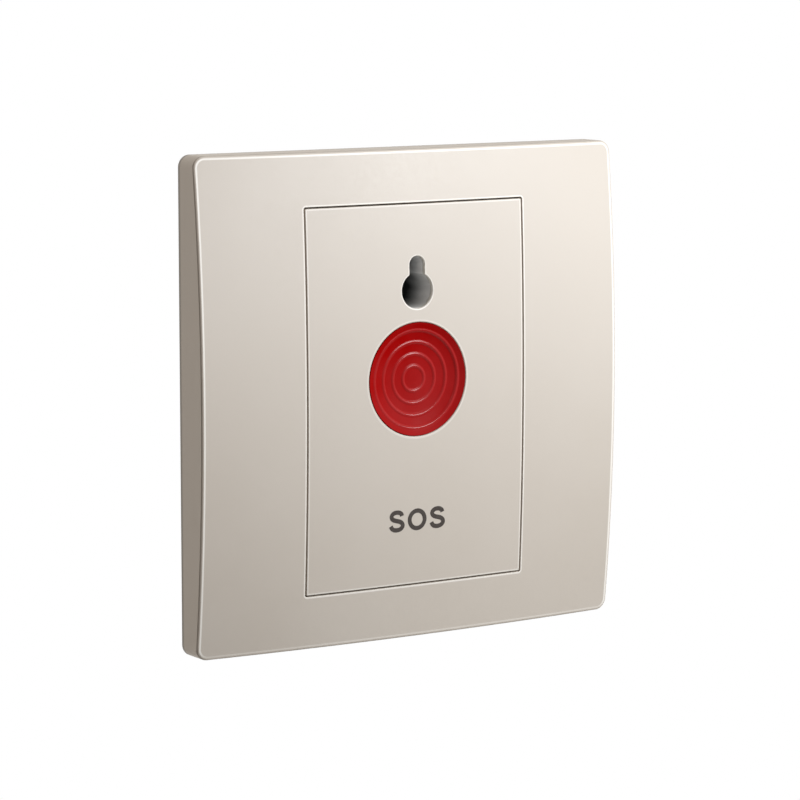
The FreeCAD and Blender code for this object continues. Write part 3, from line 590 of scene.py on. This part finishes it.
@dataclass(frozen=True)
class Outline:
    """A rounded rectangle or circle cut in the front, in millimetres about its middle."""

    half_width: float
    half_height: float
    corner: float
    height: float = 0.0

    def distance(self, graph: Graph) -> Socket:
        """Distance from the outline, above 0 outside it.

        Args:
            graph: the material's node tree.

        Returns:
            The distance's socket, in metres.
        """
        parts = graph.parts
        flat = graph.math("ABSOLUTE", parts["X"])
        rise = graph.math("ABSOLUTE", graph.math("SUBTRACT", parts["Z"], self.height * MM))
        over = graph.math("SUBTRACT", flat, (self.half_width - self.corner) * MM)
        above = graph.math("SUBTRACT", rise, (self.half_height - self.corner) * MM)
        squares = [graph.math("POWER", graph.math("MAXIMUM", v, 0.0), 2.0) for v in (over, above)]
        outside = graph.math("SQRT", graph.total(*squares))
        inside = graph.math("MINIMUM", graph.math("MAXIMUM", over, above), 0.0)
        return graph.math("SUBTRACT", graph.total(outside, inside), self.corner * MM)


@dataclass(frozen=True)
class Edge:
    """A painted highlight line along an edge of the front: whose outline, how far off it and how
    strong.
    """

    outlines: tuple[Outline, ...]
    shift: float
    half_width: float
    strength: float
    walls: bool = False


PLATE = Outline(43.0, 43.0, 2.1)
WINDOW = Outline(22.55, 33.7, 0.4)
BUTTON_HOLE = Outline(10.02, 10.02, 10.02, 2.8)
KEY_LOBE = Outline(3.15, 3.15, 3.15, 18.35)
KEY_SLOT = Outline(1.55, 3.025, 1.55, 21.375)


@dataclass(frozen=True)
class RimmedFinish(Finish):
    """Satin lacquer with a painted highlight in a fine pale line on the front's edges, and painted
    shade in a dark line where they end and along the wall's back edge.

    The first four values go by how squarely a place faces the front, up to 1. The other spans
    are in millimetres: the plate's foot, its back edge and its outer wall.
    """

    FRONT: ClassVar[Pair] = (0.7, 0.9)
    ROUNDING_END: ClassVar[Pair] = (0.12, 0.25)
    ROUNDING_START: ClassVar[Pair] = (0.45, 0.6)
    ROUNDING_SHADE: ClassVar[float] = 0.7
    FOOT: ClassVar[Pair] = (-42.8, -41.6)
    # the painted highlight lines are kept this faint on the plate's foot
    FOOT_HIGHLIGHT: ClassVar[float] = 0.12
    BACK_EDGE: ClassVar[Pair] = (-0.78, -0.42)
    OUTER_WALL: ClassVar[Pair] = (-0.5, -0.2)

    # painted highlight colour of the pale edge lines
    highlight_colour: Colour = (0.93, 0.89, 0.82)
    # painted shade colour of the dark lines beside the edges
    shade_colour: Colour = (0.30, 0.27, 0.235)
    edges: tuple[Edge, ...] = (
        Edge((PLATE,), -0.52, 0.15, 1.0),
        Edge((WINDOW,), 0.20, 0.12, 0.75),
        Edge((WINDOW,), -0.45, 0.12, 0.55),
        Edge((BUTTON_HOLE,), 0.34, 0.12, 0.30),
        Edge((KEY_LOBE, KEY_SLOT), 0.14, 0.12, 0.80),
        # this line also paints the keyhole's walls paler: painted light
        Edge((KEY_LOBE, KEY_SLOT), 0.0, 0.08, 1.0, True),
    )

    def facing(self, graph: Graph) -> Socket:
        """How squarely a place faces the front, from 0 on the walls to 1."""
        normal = graph.add("ShaderNodeTexCoord").outputs["Normal"]
        return graph.times(graph.split(normal)["Y"], -1.0)

    def painted_highlight(self, graph: Graph) -> Socket:
        """Whether a place is on an edge's painted highlight line, kept faint on the plate's foot.

        Args:
            graph: the material's node tree.

        Returns:
            A value from 0 away from the edges to 1 on their lines.
        """
        front = graph.spread(self.facing(graph), 0.0, 1.0, *self.FRONT)
        highlight_lines: Any = 0.0
        for edge in self.edges:
            away: Any = 1.0
            for outline in edge.outlines:
                away = graph.math("MINIMUM", away, outline.distance(graph))
            away = graph.math("ABSOLUTE", graph.math("SUBTRACT", away, edge.shift * MM))
            core, fade = 0.5 * edge.half_width * MM, 1.5 * edge.half_width * MM
            line = graph.spread(away, edge.strength, 0.0, core, fade)
            # painted highlight: pale lines on the front's edges, and on the keyhole's walls
            highlight_lines = graph.math("MAXIMUM", highlight_lines, line if edge.walls else graph.times(line, front))
        height = graph.parts["Z"]
        return graph.times(highlight_lines, self.ramp(graph, height, self.FOOT, self.FOOT_HIGHLIGHT))

    def painted_shade(self, graph: Graph) -> Socket:
        """Whether a place is on the painted shade line beside a rounded edge or along the wall's back
        edge.

        Args:
            graph: the material's node tree.

        Returns:
            A value from 0 to 1.
        """
        facing = self.facing(graph)
        ended = graph.spread(facing, 0.0, 1.0, *self.ROUNDING_END)
        started = graph.spread(facing, 1.0, 0.0, *self.ROUNDING_START)
        # painted shade beside the rounded edges and along the wall's back edge
        bend = graph.times(ended, started, self.ROUNDING_SHADE)
        back = self.ramp(graph, graph.parts["Y"], self.BACK_EDGE)
        outside = self.ramp(graph, PLATE.distance(graph), self.OUTER_WALL)
        return graph.math("MAXIMUM", bend, graph.times(back, outside))

    def ramp(self, graph: Graph, value: Any, span: Pair, low: float = 0.0) -> Socket:
        """A rise to 1 across a span in millimetres."""
        return graph.spread(value, low, 1.0, span[0] * MM, span[1] * MM)

    def tone(self, graph: Graph) -> Any:
        """The colour, with painted shade lines and painted highlight lines along the edges."""
        # painted shade, then painted highlight, mixed into the lacquer's colour
        body = graph.blend(self.painted_shade(graph), self.colour, self.shade_colour)
        return graph.blend(self.painted_highlight(graph), body, self.highlight_colour)


@dataclass(frozen=True)
class DepthShadedFinish(Finish):
    """Moulded plastic with painted shade that darkens it with depth into the hole."""

    # painted shade colour deep in the hole
    deep_shade: Colour = (0.05, 0.05, 0.05)
    unshaded_until: float = -7.2
    dark_from: float = 0.3
    uneven: float = 0.6

    def tone(self, graph: Graph) -> Any:
        """The colour, with painted shade that darkens it with depth.

        Args:
            graph: the material's node tree.

        Returns:
            The colour's socket.
        """
        # painted shade: darker with depth, its edge made ragged by noise
        shade_noise = DEPTH_SHADE_NOISE.on(graph)
        ragged = graph.spread(shade_noise, -self.uneven * MM, self.uneven * MM)
        depth = graph.total(graph.parts["Y"], ragged)
        share = graph.spread(depth, 0.0, 1.0, self.unshaded_until * MM, self.dark_from * MM)
        return graph.blend(share, self.colour, self.deep_shade)


FINISHES: tuple[Finish, ...] = (
    RimmedFinish(
        Slot.LACQUER,
        (0.588, 0.527, 0.457),
        Grain.LACQUER,
        0.52,
        specular=0.85,
        coat=0.03,
        coat_roughness=0.16,
        variation=0.012,
        bump=0.012,
    ),
    RingedFinish(
        Slot.RED,
        (0.335, 0.0046, 0.0046),
        Grain.POLISHED,
        0.42,
        specular=0.02,
        coat_roughness=0.24,
        variation=0.04,
        bump=0.01,
    ),
    DepthShadedFinish(Slot.GREY, (0.92, 0.915, 0.90), Grain.MOULDED, 0.48),
    Finish(Slot.DARK, (0.045, 0.045, 0.048), Grain.MOULDED, 0.50, bump=0.04),
    Finish(Slot.WHITE, (0.74, 0.73, 0.70), Grain.MOULDED, 0.46),
    Finish(Slot.NATURAL, (0.80, 0.79, 0.73), Grain.POLISHED, 0.34),
    Finish(Slot.SPRING, (0.56, 0.56, 0.58), Grain.PLATED, 0.28, metallic=1.0, variation=0.06),
    Finish(
        Slot.PLATED, (0.66, 0.66, 0.68), Grain.PLATED, 0.33, metallic=1.0, variation=0.08, bump=0.022
    ),
    Finish(
        Slot.BRASS, (0.78, 0.55, 0.22), Grain.BRUSHED, 0.30, metallic=1.0, variation=0.08, bump=0.05
    ),
    Finish(Slot.SILVER, (0.84, 0.83, 0.80), Grain.BRUSHED, 0.24, metallic=1.0, variation=0.05),
)


@dataclass
class Palette:
    """All finishes of the switch, made once."""

    made: dict[Slot, bpy.types.Material] = field(default_factory=dict)

    def __post_init__(self) -> None:
        """Build every finish."""
        for finish in FINISHES:
            self.made[finish.slot] = finish.build()

    def of(self, slot: Slot) -> bpy.types.Material:
        """The material of a slot."""
        return self.made[slot]


@dataclass
class FrameNodes:
    """The pieces that come straight from the solid model, with their finishes."""

    palette: Palette

    def build(self) -> None:
        """Give every node its finish."""
        slots = {entry["node"]: entry["material_slot"] for entry in frame["record"]["subparts"]}
        for name, node in frame["nodes"].items():
            node.data.materials.clear()
            node.data.materials.append(self.palette.of(Slot(slots[name])))
            log.info("finish %s on %s", slots[name], name)


@dataclass
class Maker:
    """Turns geometry node recipes into plain meshes that stand for nodes of the solid model."""

    CREASE: ClassVar[float] = 32.0

    palette: Palette

    def section(self, points: Sequence[Pair]) -> bpy.types.Mesh:
        """A half section as a line of edges.

        Args:
            points: radius and level of each corner, in metres.

        Returns:
            The mesh.
        """
        data = bpy.data.meshes.new("half_section")
        edges = [(i, i + 1) for i in range(len(points) - 1)]
        data.from_pydata([(radius, level, 0.0) for radius, level in points], edges, [])
        return data

    def make(
        self,
        node: str,
        slot: Slot,
        body: Group,
        recipe: Tree,
        start: bpy.types.Mesh,
        **inputs: Any,
    ) -> bpy.types.Object:
        """Run a recipe and keep its result as the piece that replaces a node, with creased shading.

        Args:
            node: the node it stands for.
            slot: its finish.
            body: the body it rides on.
            recipe: the geometry node group.
            start: the mesh given to the group.
            inputs: values of the group's inputs, by name with underscores for spaces.

        Returns:
            The new object.
        """
        source = show(node + "_source", start)
        modifier = source.modifiers.new("recipe", "NODES")
        modifier.node_group = recipe
        items = recipe.interface.items_tree
        sockets = {item.name: item.identifier for item in items if item.in_out == "INPUT"}
        modifier[sockets["Material"]] = self.palette.of(slot)
        for label, value in inputs.items():
            modifier[sockets[label.replace("_", " ")]] = value
        view = bpy.context.evaluated_depsgraph_get()
        data = bpy.data.meshes.new_from_object(source.evaluated_get(view), depsgraph=view)
        source.modifiers.clear()
        bpy.data.objects.remove(source)
        mesh = bmesh.new()
        mesh.from_mesh(data)
        settle(mesh, data)
        data.shade_smooth()
        data.set_sharp_from_angle(angle=math.radians(self.CREASE))
        data.name = node + "_skin"
        piece = show(node + "_piece", data)
        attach(piece, body.value)
        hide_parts(node)
        log.info("%s: %d faces on %s", node, len(data.polygons), body.value)
        return piece


def settle(mesh: bmesh.types.BMesh, data: bpy.types.Mesh) -> None:
    """Write an edited mesh out, its faces pointing outwards.

    Args:
        mesh: what was edited; it is freed.
        data: the mesh that takes it.
    """
    bmesh.ops.recalc_face_normals(mesh, faces=mesh.faces)
    mesh.to_mesh(data)
    mesh.free()


def show(name: str, data: Any) -> bpy.types.Object:
    """Make an object and link it to the scene.

    Args:
        name: the object's name.
        data: its mesh, light or camera.

    Returns:
        The object.
    """
    thing = bpy.data.objects.new(name, data)
    bpy.context.scene.collection.objects.link(thing)
    return thing


def look(thing: bpy.types.Object, place: Vector, aim: Vector) -> None:
    """Stand a light or camera at a place and aim it.

    Args:
        thing: the object.
        place: where it stands.
        aim: the place it looks at.
    """
    thing.location = place
    thing.rotation_mode = "QUATERNION"
    thing.rotation_quaternion = (aim - place).to_track_quat("-Z", "Y")


def extent(node: str) -> tuple[Vector, Vector]:
    """Middle and size of a node's box in the solid model, in metres."""
    low, high = (Vector(corner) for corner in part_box(node))
    return (low + high) / 2, high - low


def quarter(radius: float, size: float, steps: int) -> list[Pair]:
    """Corners (radius, level) of a quarter round that starts at level 0, outwards and down."""
    turns = [math.pi / 2 * i / steps for i in range(1, steps + 1)]
    return [(radius + size * math.sin(t), size * (1 - math.cos(t))) for t in turns]


@dataclass
class DishCap:
    """The red cap: a dish with raised rings that steepens towards its rim."""

    maker: Maker
    dish_depth: float = 1.5
    floor_radius: float = 1.0
    first_ring: float = 2.2
    ring_step: float = 2.12
    ring_count: int = 4
    ring_width: float = 0.95
    ring_height: float = 0.15
    rim_round: float = 0.07
    rim_steps: int = 6
    swell: float = 0.04
    side_wall: float = 1.4
    web: float = 1.5
    step: float = 0.05
    segments: int = 180

    def level(self, radius: float, rim: float) -> float:
        """How far the front lies behind the rim.

        Args:
            radius: distance from the axis, in millimetres.
            rim: radius of the rim's inner side.

        Returns:
            The depth in millimetres.
        """
        rise = max(0.0, radius - self.floor_radius) / (rim - self.floor_radius)
        level = self.dish_depth * (1.0 - rise**3)
        for i in range(self.ring_count):
            off = abs(radius - self.first_ring - i * self.ring_step) / self.ring_width
            if off < 0.5:
                level -= self.ring_height * math.cos(math.pi * off) ** 2
        return level

    def half_section(self, outer: float, length: float) -> list[Pair]:
        """The cap's half section, level 0 at the rim.

        Args:
            outer: the cap's radius in millimetres.
            length: from rim to skirt end.

        Returns:
            Radius and level of each corner, from the axis round to the axis.
        """
        rim = outer - self.rim_round
        steps = round(rim / self.step)
        radii = [rim * i / steps for i in range(steps + 1)]
        points = [(radius, self.level(radius, rim)) for radius in radii]
        points += quarter(rim, self.rim_round, self.rim_steps)
        inner = outer - self.side_wall
        floor = self.dish_depth + self.web
        points += [(outer, length), (inner, length), (inner, floor), (0.0, floor)]
        return points

    def build(self) -> None:
        """Turn the cap in place of the solid one."""
        middle, size = extent("push_button")
        front = middle.y - size.y / 2
        section = self.half_section(size.x / 2 / MM + self.swell, size.y / MM)
        start = self.maker.section([(radius * MM, front + level * MM) for radius, level in section])
        make = self.maker.make
        piece = make("push_button", Slot.RED, Group.BUTTON, cap_recipe(), start, Segments=self.segments)
        piece.data.transform(Matrix.Translation((middle.x, 0.0, middle.z)))


@dataclass(frozen=True)
class ScrewKind:
    """One size of slotted screw and how its four stand."""

    node: str
    head_radius: float
    head_length: float
    shank_radius: float
    pitch: float
    turn: float
    side_turn: float = 0.0
    across: bool = False


@dataclass
class Screws:
    """All slotted screws, with cut threads and driven at odd angles."""

    maker: Maker
    kinds: tuple[ScrewKind, ...] = (
        ScrewKind("housing_screws", 2.1, 1.5, 1.2, 0.45, math.pi),
        ScrewKind("bracket_screws", 1.9, 1.3, 1.25, 0.45, 0.0),
        ScrewKind("terminal_screws", 2.7, 2.0, 1.6, 0.50, 0.0, math.pi / 2, True),
    )
    slot_width: float = 0.8
    slot_share: float = 0.55
    bevel_share: float = 0.15
    bevel_steps: int = 4
    thread_share: float = 0.16
    thread_after_head: float = 0.3
    thread_before_end: float = 0.15
    rows_per_turn: int = 8
    segments: int = 40

    def half_section(self, kind: ScrewKind, length: float) -> list[Pair]:
        """Half section of a screw along +Y, its head first.

        Args:
            kind: the screw's size.
            length: its whole length in millimetres.

        Returns:
            Radius and level of each corner, in metres.
        """
        head, shank = kind.head_radius, kind.shank_radius
        bevel = self.bevel_share * kind.head_length
        points = [(0.0, 0.0), (head - bevel, 0.0), *quarter(head - bevel, bevel, self.bevel_steps)]
        points += [(head, kind.head_length), (shank, kind.head_length)]
        rest = length - kind.head_length
        steps = max(6, round(rest / kind.pitch * self.rows_per_turn))
        points += [(shank, kind.head_length + rest * i / steps) for i in range(1, steps + 1)]
        points.append((0.0, length))
        return [(radius * MM, level * MM) for radius, level in points]

    def build(self) -> None:
        """Make the screws of each size."""
        recipe = screw_recipe()
        for kind in self.kinds:
            middle, size = extent(kind.node)
            inner = size - Vector((1.0, 0.0, 1.0)) * 2 * kind.head_radius * MM
            if kind.across:
                length = min(self.gap_to_middle(kind.node), size.x / 2)
                spread = (size.x, 0.0, inner.z)
                seat = middle
            else:
                length = size.y
                spread = (inner.x, 0.0, inner.z)
                front = middle.y + (size.y / 2 if kind.turn else -size.y / 2)
                seat = Vector((middle.x, front, middle.z))
            start = self.maker.section(self.half_section(kind, length / MM))
            self.maker.make(
                kind.node,
                Slot.PLATED,
                Group.BASE,
                recipe,
                start,
                Segments=self.segments,
                Thread_Pitch=kind.pitch * MM,
                Thread_Depth=self.thread_share * kind.shank_radius * MM,
                Thread_Start=(kind.head_length + self.thread_after_head) * MM,
                Thread_End=length - self.thread_before_end * MM,
                Slot_Width=self.slot_width * MM,
                Slot_Depth=self.slot_share * kind.head_length * MM,
                Spread=spread,
                Middle=tuple(seat),
                Turn=kind.turn,
                Side_Turn=kind.side_turn,
            )

    def gap_to_middle(self, node: str) -> float:
        """Length in metres of screws that point at the middle from both sides."""
        points = [abs(v.co.x) for v in frame["nodes"][node].data.vertices]
        return max(points) - min(points)


@dataclass(frozen=True)
class Coil:
    """One compression spring, with the joint and travel listed for it."""

    node: str
    body: Group
    wire: float
    turns: float
    joint: str = ""
    travel: float = 0.0
    upright: bool = False


@dataclass
class Springs:
    """The wound springs, with closed ends."""

    maker: Maker
    coils: tuple[Coil, ...] = (
        Coil("return_spring", Group.BASE, 0.8, 4.5, "button_press", 3.5),
        Coil("contact_spring", Group.BUTTON, 0.4, 5.5),
        Coil("latch_spring", Group.BASE, 0.3, 7.0, "latch_lift", 1.6, True),
    )
    steps_per_turn: int = 40

    def build(self) -> None:
        """Wind the springs."""
        recipe = coil_recipe()
        for coil in self.coils:
            middle, size = extent(coil.node)
            length = size.z if coil.upright else size.y
            piece = self.maker.make(
                coil.node,
                Slot.SPRING,
                coil.body,
                recipe,
                bpy.data.meshes.new("empty"),
                Coil_Radius=(size.x - coil.wire * MM) / 2,
                Wire_Radius=coil.wire * MM / 2,
                Length=length,
                Turns=coil.turns,
                Steps=round(coil.turns * self.steps_per_turn),
            )
            axis = (0.0, 0.0, 1.0) if coil.upright else (0.0, 1.0, 0.0)
            start = middle - Vector(axis) * length / 2
            turn = Matrix.Rotation(math.radians(90.0 if coil.upright else 0.0), 4, "X")
            piece.data.transform(Matrix.Translation(start) @ turn)
            if coil.joint:
                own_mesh(piece)


@dataclass(frozen=True)
class Stroke:
    """A letter's centre line in millimetres about its middle, and whether it closes on itself."""

    points: tuple[Pair, ...]
    closed: bool = False


@dataclass
class Lettering:
    """The distress letters printed on the panel below the button."""

    palette: Palette
    middle: Pair = (0.0, -22.0)
    half_height: float = 1.56
    half_width: float = 1.56
    stroke: float = 0.79
    pitch: float = 4.23
    lift: float = 0.02
    sunk: float = 0.01
    ray_start: float = -20.0
    span_steps: int = 6
    round_steps: int = 40
    ink: tuple[Colour, Colour] = ((0.048, 0.036, 0.030), (0.066, 0.052, 0.044))
    ink_roughness: Pair = (0.42, 0.58)

    def letter_s(self) -> Stroke:
        """The S.

        Returns:
            Its centre line.
        """
        return Stroke((
            (1.05, 0.88), (0.92, 1.25), (0.50, 1.50), (0.0, 1.57), (-0.55, 1.49), (-0.98, 1.20),
            (-1.10, 0.80), (-0.88, 0.42), (-0.40, 0.18), (0.10, 0.04), (0.65, -0.12), (1.08, -0.42),
            (1.24, -0.82), (1.02, -1.24), (0.55, -1.50), (0.0, -1.57), (-0.55, -1.50), (-1.00, -1.22),
            (-1.22, -0.78),
        ))

    def letter_o(self) -> Stroke:
        """The O.

        Returns:
            Its centre line.
        """
        turns = [2 * math.pi * i / self.round_steps for i in range(self.round_steps)]
        points = [(self.half_width * math.cos(t), self.half_height * math.sin(t)) for t in turns]
        return Stroke(tuple(points), True)

    def smooth(self, stroke: Stroke) -> list[Vector]:
        """Round an open centre line with a spline through its points.

        Args:
            stroke: the centre line.

        Returns:
            The finer line.
        """
        line = [Vector(p) for p in stroke.points]
        if stroke.closed:
            return line
        line = [2 * line[0] - line[1], *line, 2 * line[-1] - line[-2]]
        out = []
        for a, b, c, d in zip(line, line[1:], line[2:], line[3:]):
            slope, bend, twist = c - a, 2 * a - 5 * b + 4 * c - d, 3 * b - a - 3 * c + d
            for i in range(self.span_steps):
                t = i / self.span_steps
                out.append(0.5 * (2 * b + slope * t + bend * t**2 + twist * t**3))
        return out + [line[-2]]

    def build(self) -> None:
        """Lay the letters on the panel's front."""
        panel = frame["nodes"]["centre_panel"]
        tree = BVHTree.FromObject(panel, bpy.context.evaluated_depsgraph_get())
        mesh = bmesh.new()
        letters = (self.letter_s(), self.letter_o(), self.letter_s())
        for i, letter in enumerate(letters):
            self.add_letter(mesh, tree, letter, self.middle[0] + (i - 1) * self.pitch)
        data = bpy.data.meshes.new("distress_letters")
        settle(mesh, data)
        data.materials.append(self.print_ink())
        print_object = show("distress_letters", data)
        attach(print_object, Group.BASE.value)
        log.info("letters on the panel")

    def add_letter(
        self, mesh: bmesh.types.BMesh, tree: BVHTree, letter: Stroke, shift: float
    ) -> None:
        """Add one letter as a thin band on the panel.

        Args:
            mesh: the mesh that takes it.
            tree: the panel's surface.
            letter: the letter's centre line.
            shift: its middle along X, in millimetres.
        """
        line = self.smooth(letter)
        count = len(line)
        rims = []
        for i, point in enumerate(line):
            before = line[i - 1] if i or letter.closed else point
            after = line[(i + 1) % count] if i + 1 < count or letter.closed else point
            along = (after - before).normalized()
            side = Vector((-along.y, along.x)) * (self.stroke / 2)
            pair = []
            for edge in (point + side, point - side):
                x = (edge.x + shift) * MM
                z = (edge.y + self.middle[1]) * MM
                hit = tree.ray_cast(Vector((x, self.ray_start * MM, z)), Vector((0, 1, 0)))[0]
                pair += [(x, hit.y - self.lift * MM, z), (x, hit.y + self.sunk * MM, z)]
            rims.append([mesh.verts.new(corner) for corner in pair])
        spans = count if letter.closed else count - 1
        for i in range(spans):
            a = rims[i]
            b = rims[(i + 1) % count]
            for j, k in ((0, 2), (2, 3), (3, 1), (1, 0)):
                mesh.faces.new((a[j], a[k], b[k], b[j]))
        if not letter.closed:
            for rim in (rims[0], rims[-1]):
                mesh.faces.new((rim[0], rim[2], rim[3], rim[1]))

    def print_ink(self) -> bpy.types.Material:
        """The ink of the letters.

        Returns:
            Its material.
        """
        graph = Graph("letter_ink")
        speckle = INK_SPECKLE.on(graph)
        colour = graph.blend(graph.spread(speckle, 0.0, 1.0), *self.ink)
        rough = graph.spread(speckle, *self.ink_roughness)
        shader = graph.first("ShaderNodeBsdfPrincipled", Base_Color=colour, Roughness=rough)
        return graph.end(shader)


@dataclass(frozen=True)
class Lamp:
    """One soft light."""

    name: str
    place: Triple
    aim: Triple
    size: float
    power: float
    colour: Colour

    def build(self) -> None:
        """Make the light."""
        data = bpy.data.lights.new(self.name, "AREA")
        data.shape = "SQUARE"
        data.size = self.size
        data.energy = self.power
        data.color = self.colour
        lamp = show(self.name, data)
        look(lamp, Vector(self.place), Vector(self.aim))


@dataclass
class Studio:
    """The white surroundings, lights and camera."""

    lamps: tuple[Lamp, ...] = (
        Lamp("key_light", (0.123, -0.222, 0.092), (0.0, 0.0, 0.0), 0.11, 0.80, (0.985, 1.01, 1.04)),
        Lamp("fill_light", (-0.14, -0.13, 0.125), (0.0, 0.0, 0.01), 0.08, 0.036, (1.12, 0.98, 0.87)),
    )
    floor_height: float = -0.46
    floor_radius: float = 0.62
    floor_sides: int = 96
    floor_fade: Pair = (0.55, 0.98)
    floor_tone: Pair = (0.93, 0.95)
    floor_roughness: float = 0.8
    sky_lean: Pair = (0.32, 0.26)
    surroundings: tuple[tuple[float, Colour], ...] = (
        (-0.35, (0.026, 0.025, 0.023)),
        (0.10, (0.555, 0.490, 0.425)),
        (0.75, (0.98, 0.965, 0.94)),
    )
    yaw: float = 0.571103
    pitch: float = 0.135610
    distance: float = 0.6014
    target: Triple = (0.001392, 0.0, -0.001853)
    lens: float = 153.0

    def build(self) -> None:
        """Set up the surroundings."""
        for lamp in self.lamps:
            lamp.build()
        self.world()
        self.floor()
        self.camera()
        view = bpy.context.scene.view_settings
        view.view_transform = "Standard"
        log.info("studio ready")

    def world(self) -> None:
        """Light the switch from a white backdrop and a dim room; the camera sees white all round."""
        world = bpy.data.worlds.new("white_backdrop")
        bpy.context.scene.world = world
        world.use_nodes = True
        sky = Wiring(world.node_tree)
        parts = sky.split(sky.add("ShaderNodeTexCoord").outputs["Generated"])
        leans = [sky.times(parts[side], lean) for side, lean in zip("XZ", self.sky_lean)]
        depth = sky.total(parts["Y"], *leans)
        ramp = sky.add("ShaderNodeValToRGB", Fac=sky.spread(depth, 0.0, 1.0, -1.0, 1.0))
        stops = ramp.color_ramp.elements
        while len(stops) < len(self.surroundings):
            stops.new(0.5)
        for stop, (where, colour) in zip(stops, self.surroundings):
            stop.position = (where + 1.0) / 2
            stop.color = (*colour, 1.0)
        path = sky.add("ShaderNodeLightPath").outputs
        seen = sky.math("MAXIMUM", path["Is Camera Ray"], path["Is Transmission Ray"])
        hue = sky.blend(seen, ramp.outputs["Color"], (1.0, 1.0, 1.0))
        light = sky.first("ShaderNodeBackground", Color=hue, Strength=1.0)
        sky.add("ShaderNodeOutputWorld", Surface=light)

    def floor(self) -> None:
        """A plain floor well below the switch, which keeps its shadow."""
        mesh = bmesh.new()
        sides, radius = self.floor_sides, self.floor_radius
        bmesh.ops.create_circle(mesh, cap_ends=True, segments=sides, radius=radius)
        data = bpy.data.meshes.new("floor")
        mesh.to_mesh(data)
        mesh.free()
        graph = Graph("floor_white")
        tone = graph.spread(FLOOR_CLOUDS.on(graph), *self.floor_tone)
        colour = graph.first("ShaderNodeCombineColor", Red=tone, Green=tone, Blue=tone)
        rough = self.floor_roughness
        shader = graph.first("ShaderNodeBsdfPrincipled", Base_Color=colour, Roughness=rough)
        away = graph.add("ShaderNodeVectorMath", {"operation": "LENGTH"})
        graph.feed(away.inputs[0], graph.place)
        start, end = (share * radius for share in self.floor_fade)
        rim = graph.spread(away.outputs["Value"], 0.0, 1.0, start, end)
        clear = graph.first("ShaderNodeBsdfTransparent")
        faded = graph.join(graph.add("ShaderNodeMixShader"), rim, shader, clear)
        data.materials.append(graph.end(faded))
        floor = show("floor", data)
        floor.location = (0.0, 0.0, self.floor_height)

    def camera(self) -> None:
        """The camera that sees the switch as the photograph does."""
        level = math.cos(self.pitch)
        ahead = (math.sin(self.yaw) * level, math.cos(self.yaw) * level, -math.sin(self.pitch))
        forward = Vector(ahead)
        data = bpy.data.cameras.new("camera")
        data.lens = self.lens
        data.sensor_width = 36.0
        data.clip_start = 0.01
        data.clip_end = 20.0
        data.dof.use_dof = False
        camera = show("camera", data)
        target = Vector(self.target)
        look(camera, target - forward * self.distance, target)
        bpy.context.scene.camera = camera


def main() -> None:
    """Build the look in order."""
    logging.basicConfig(level=logging.INFO, format="%(message)s")
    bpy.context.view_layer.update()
    palette = Palette()
    FrameNodes(palette).build()
    maker = Maker(palette)
    DishCap(maker).build()
    Screws(maker).build()
    Springs(maker).build()
    Lettering(palette).build()
    Studio().build()


if __name__ == "__main__":
    main()
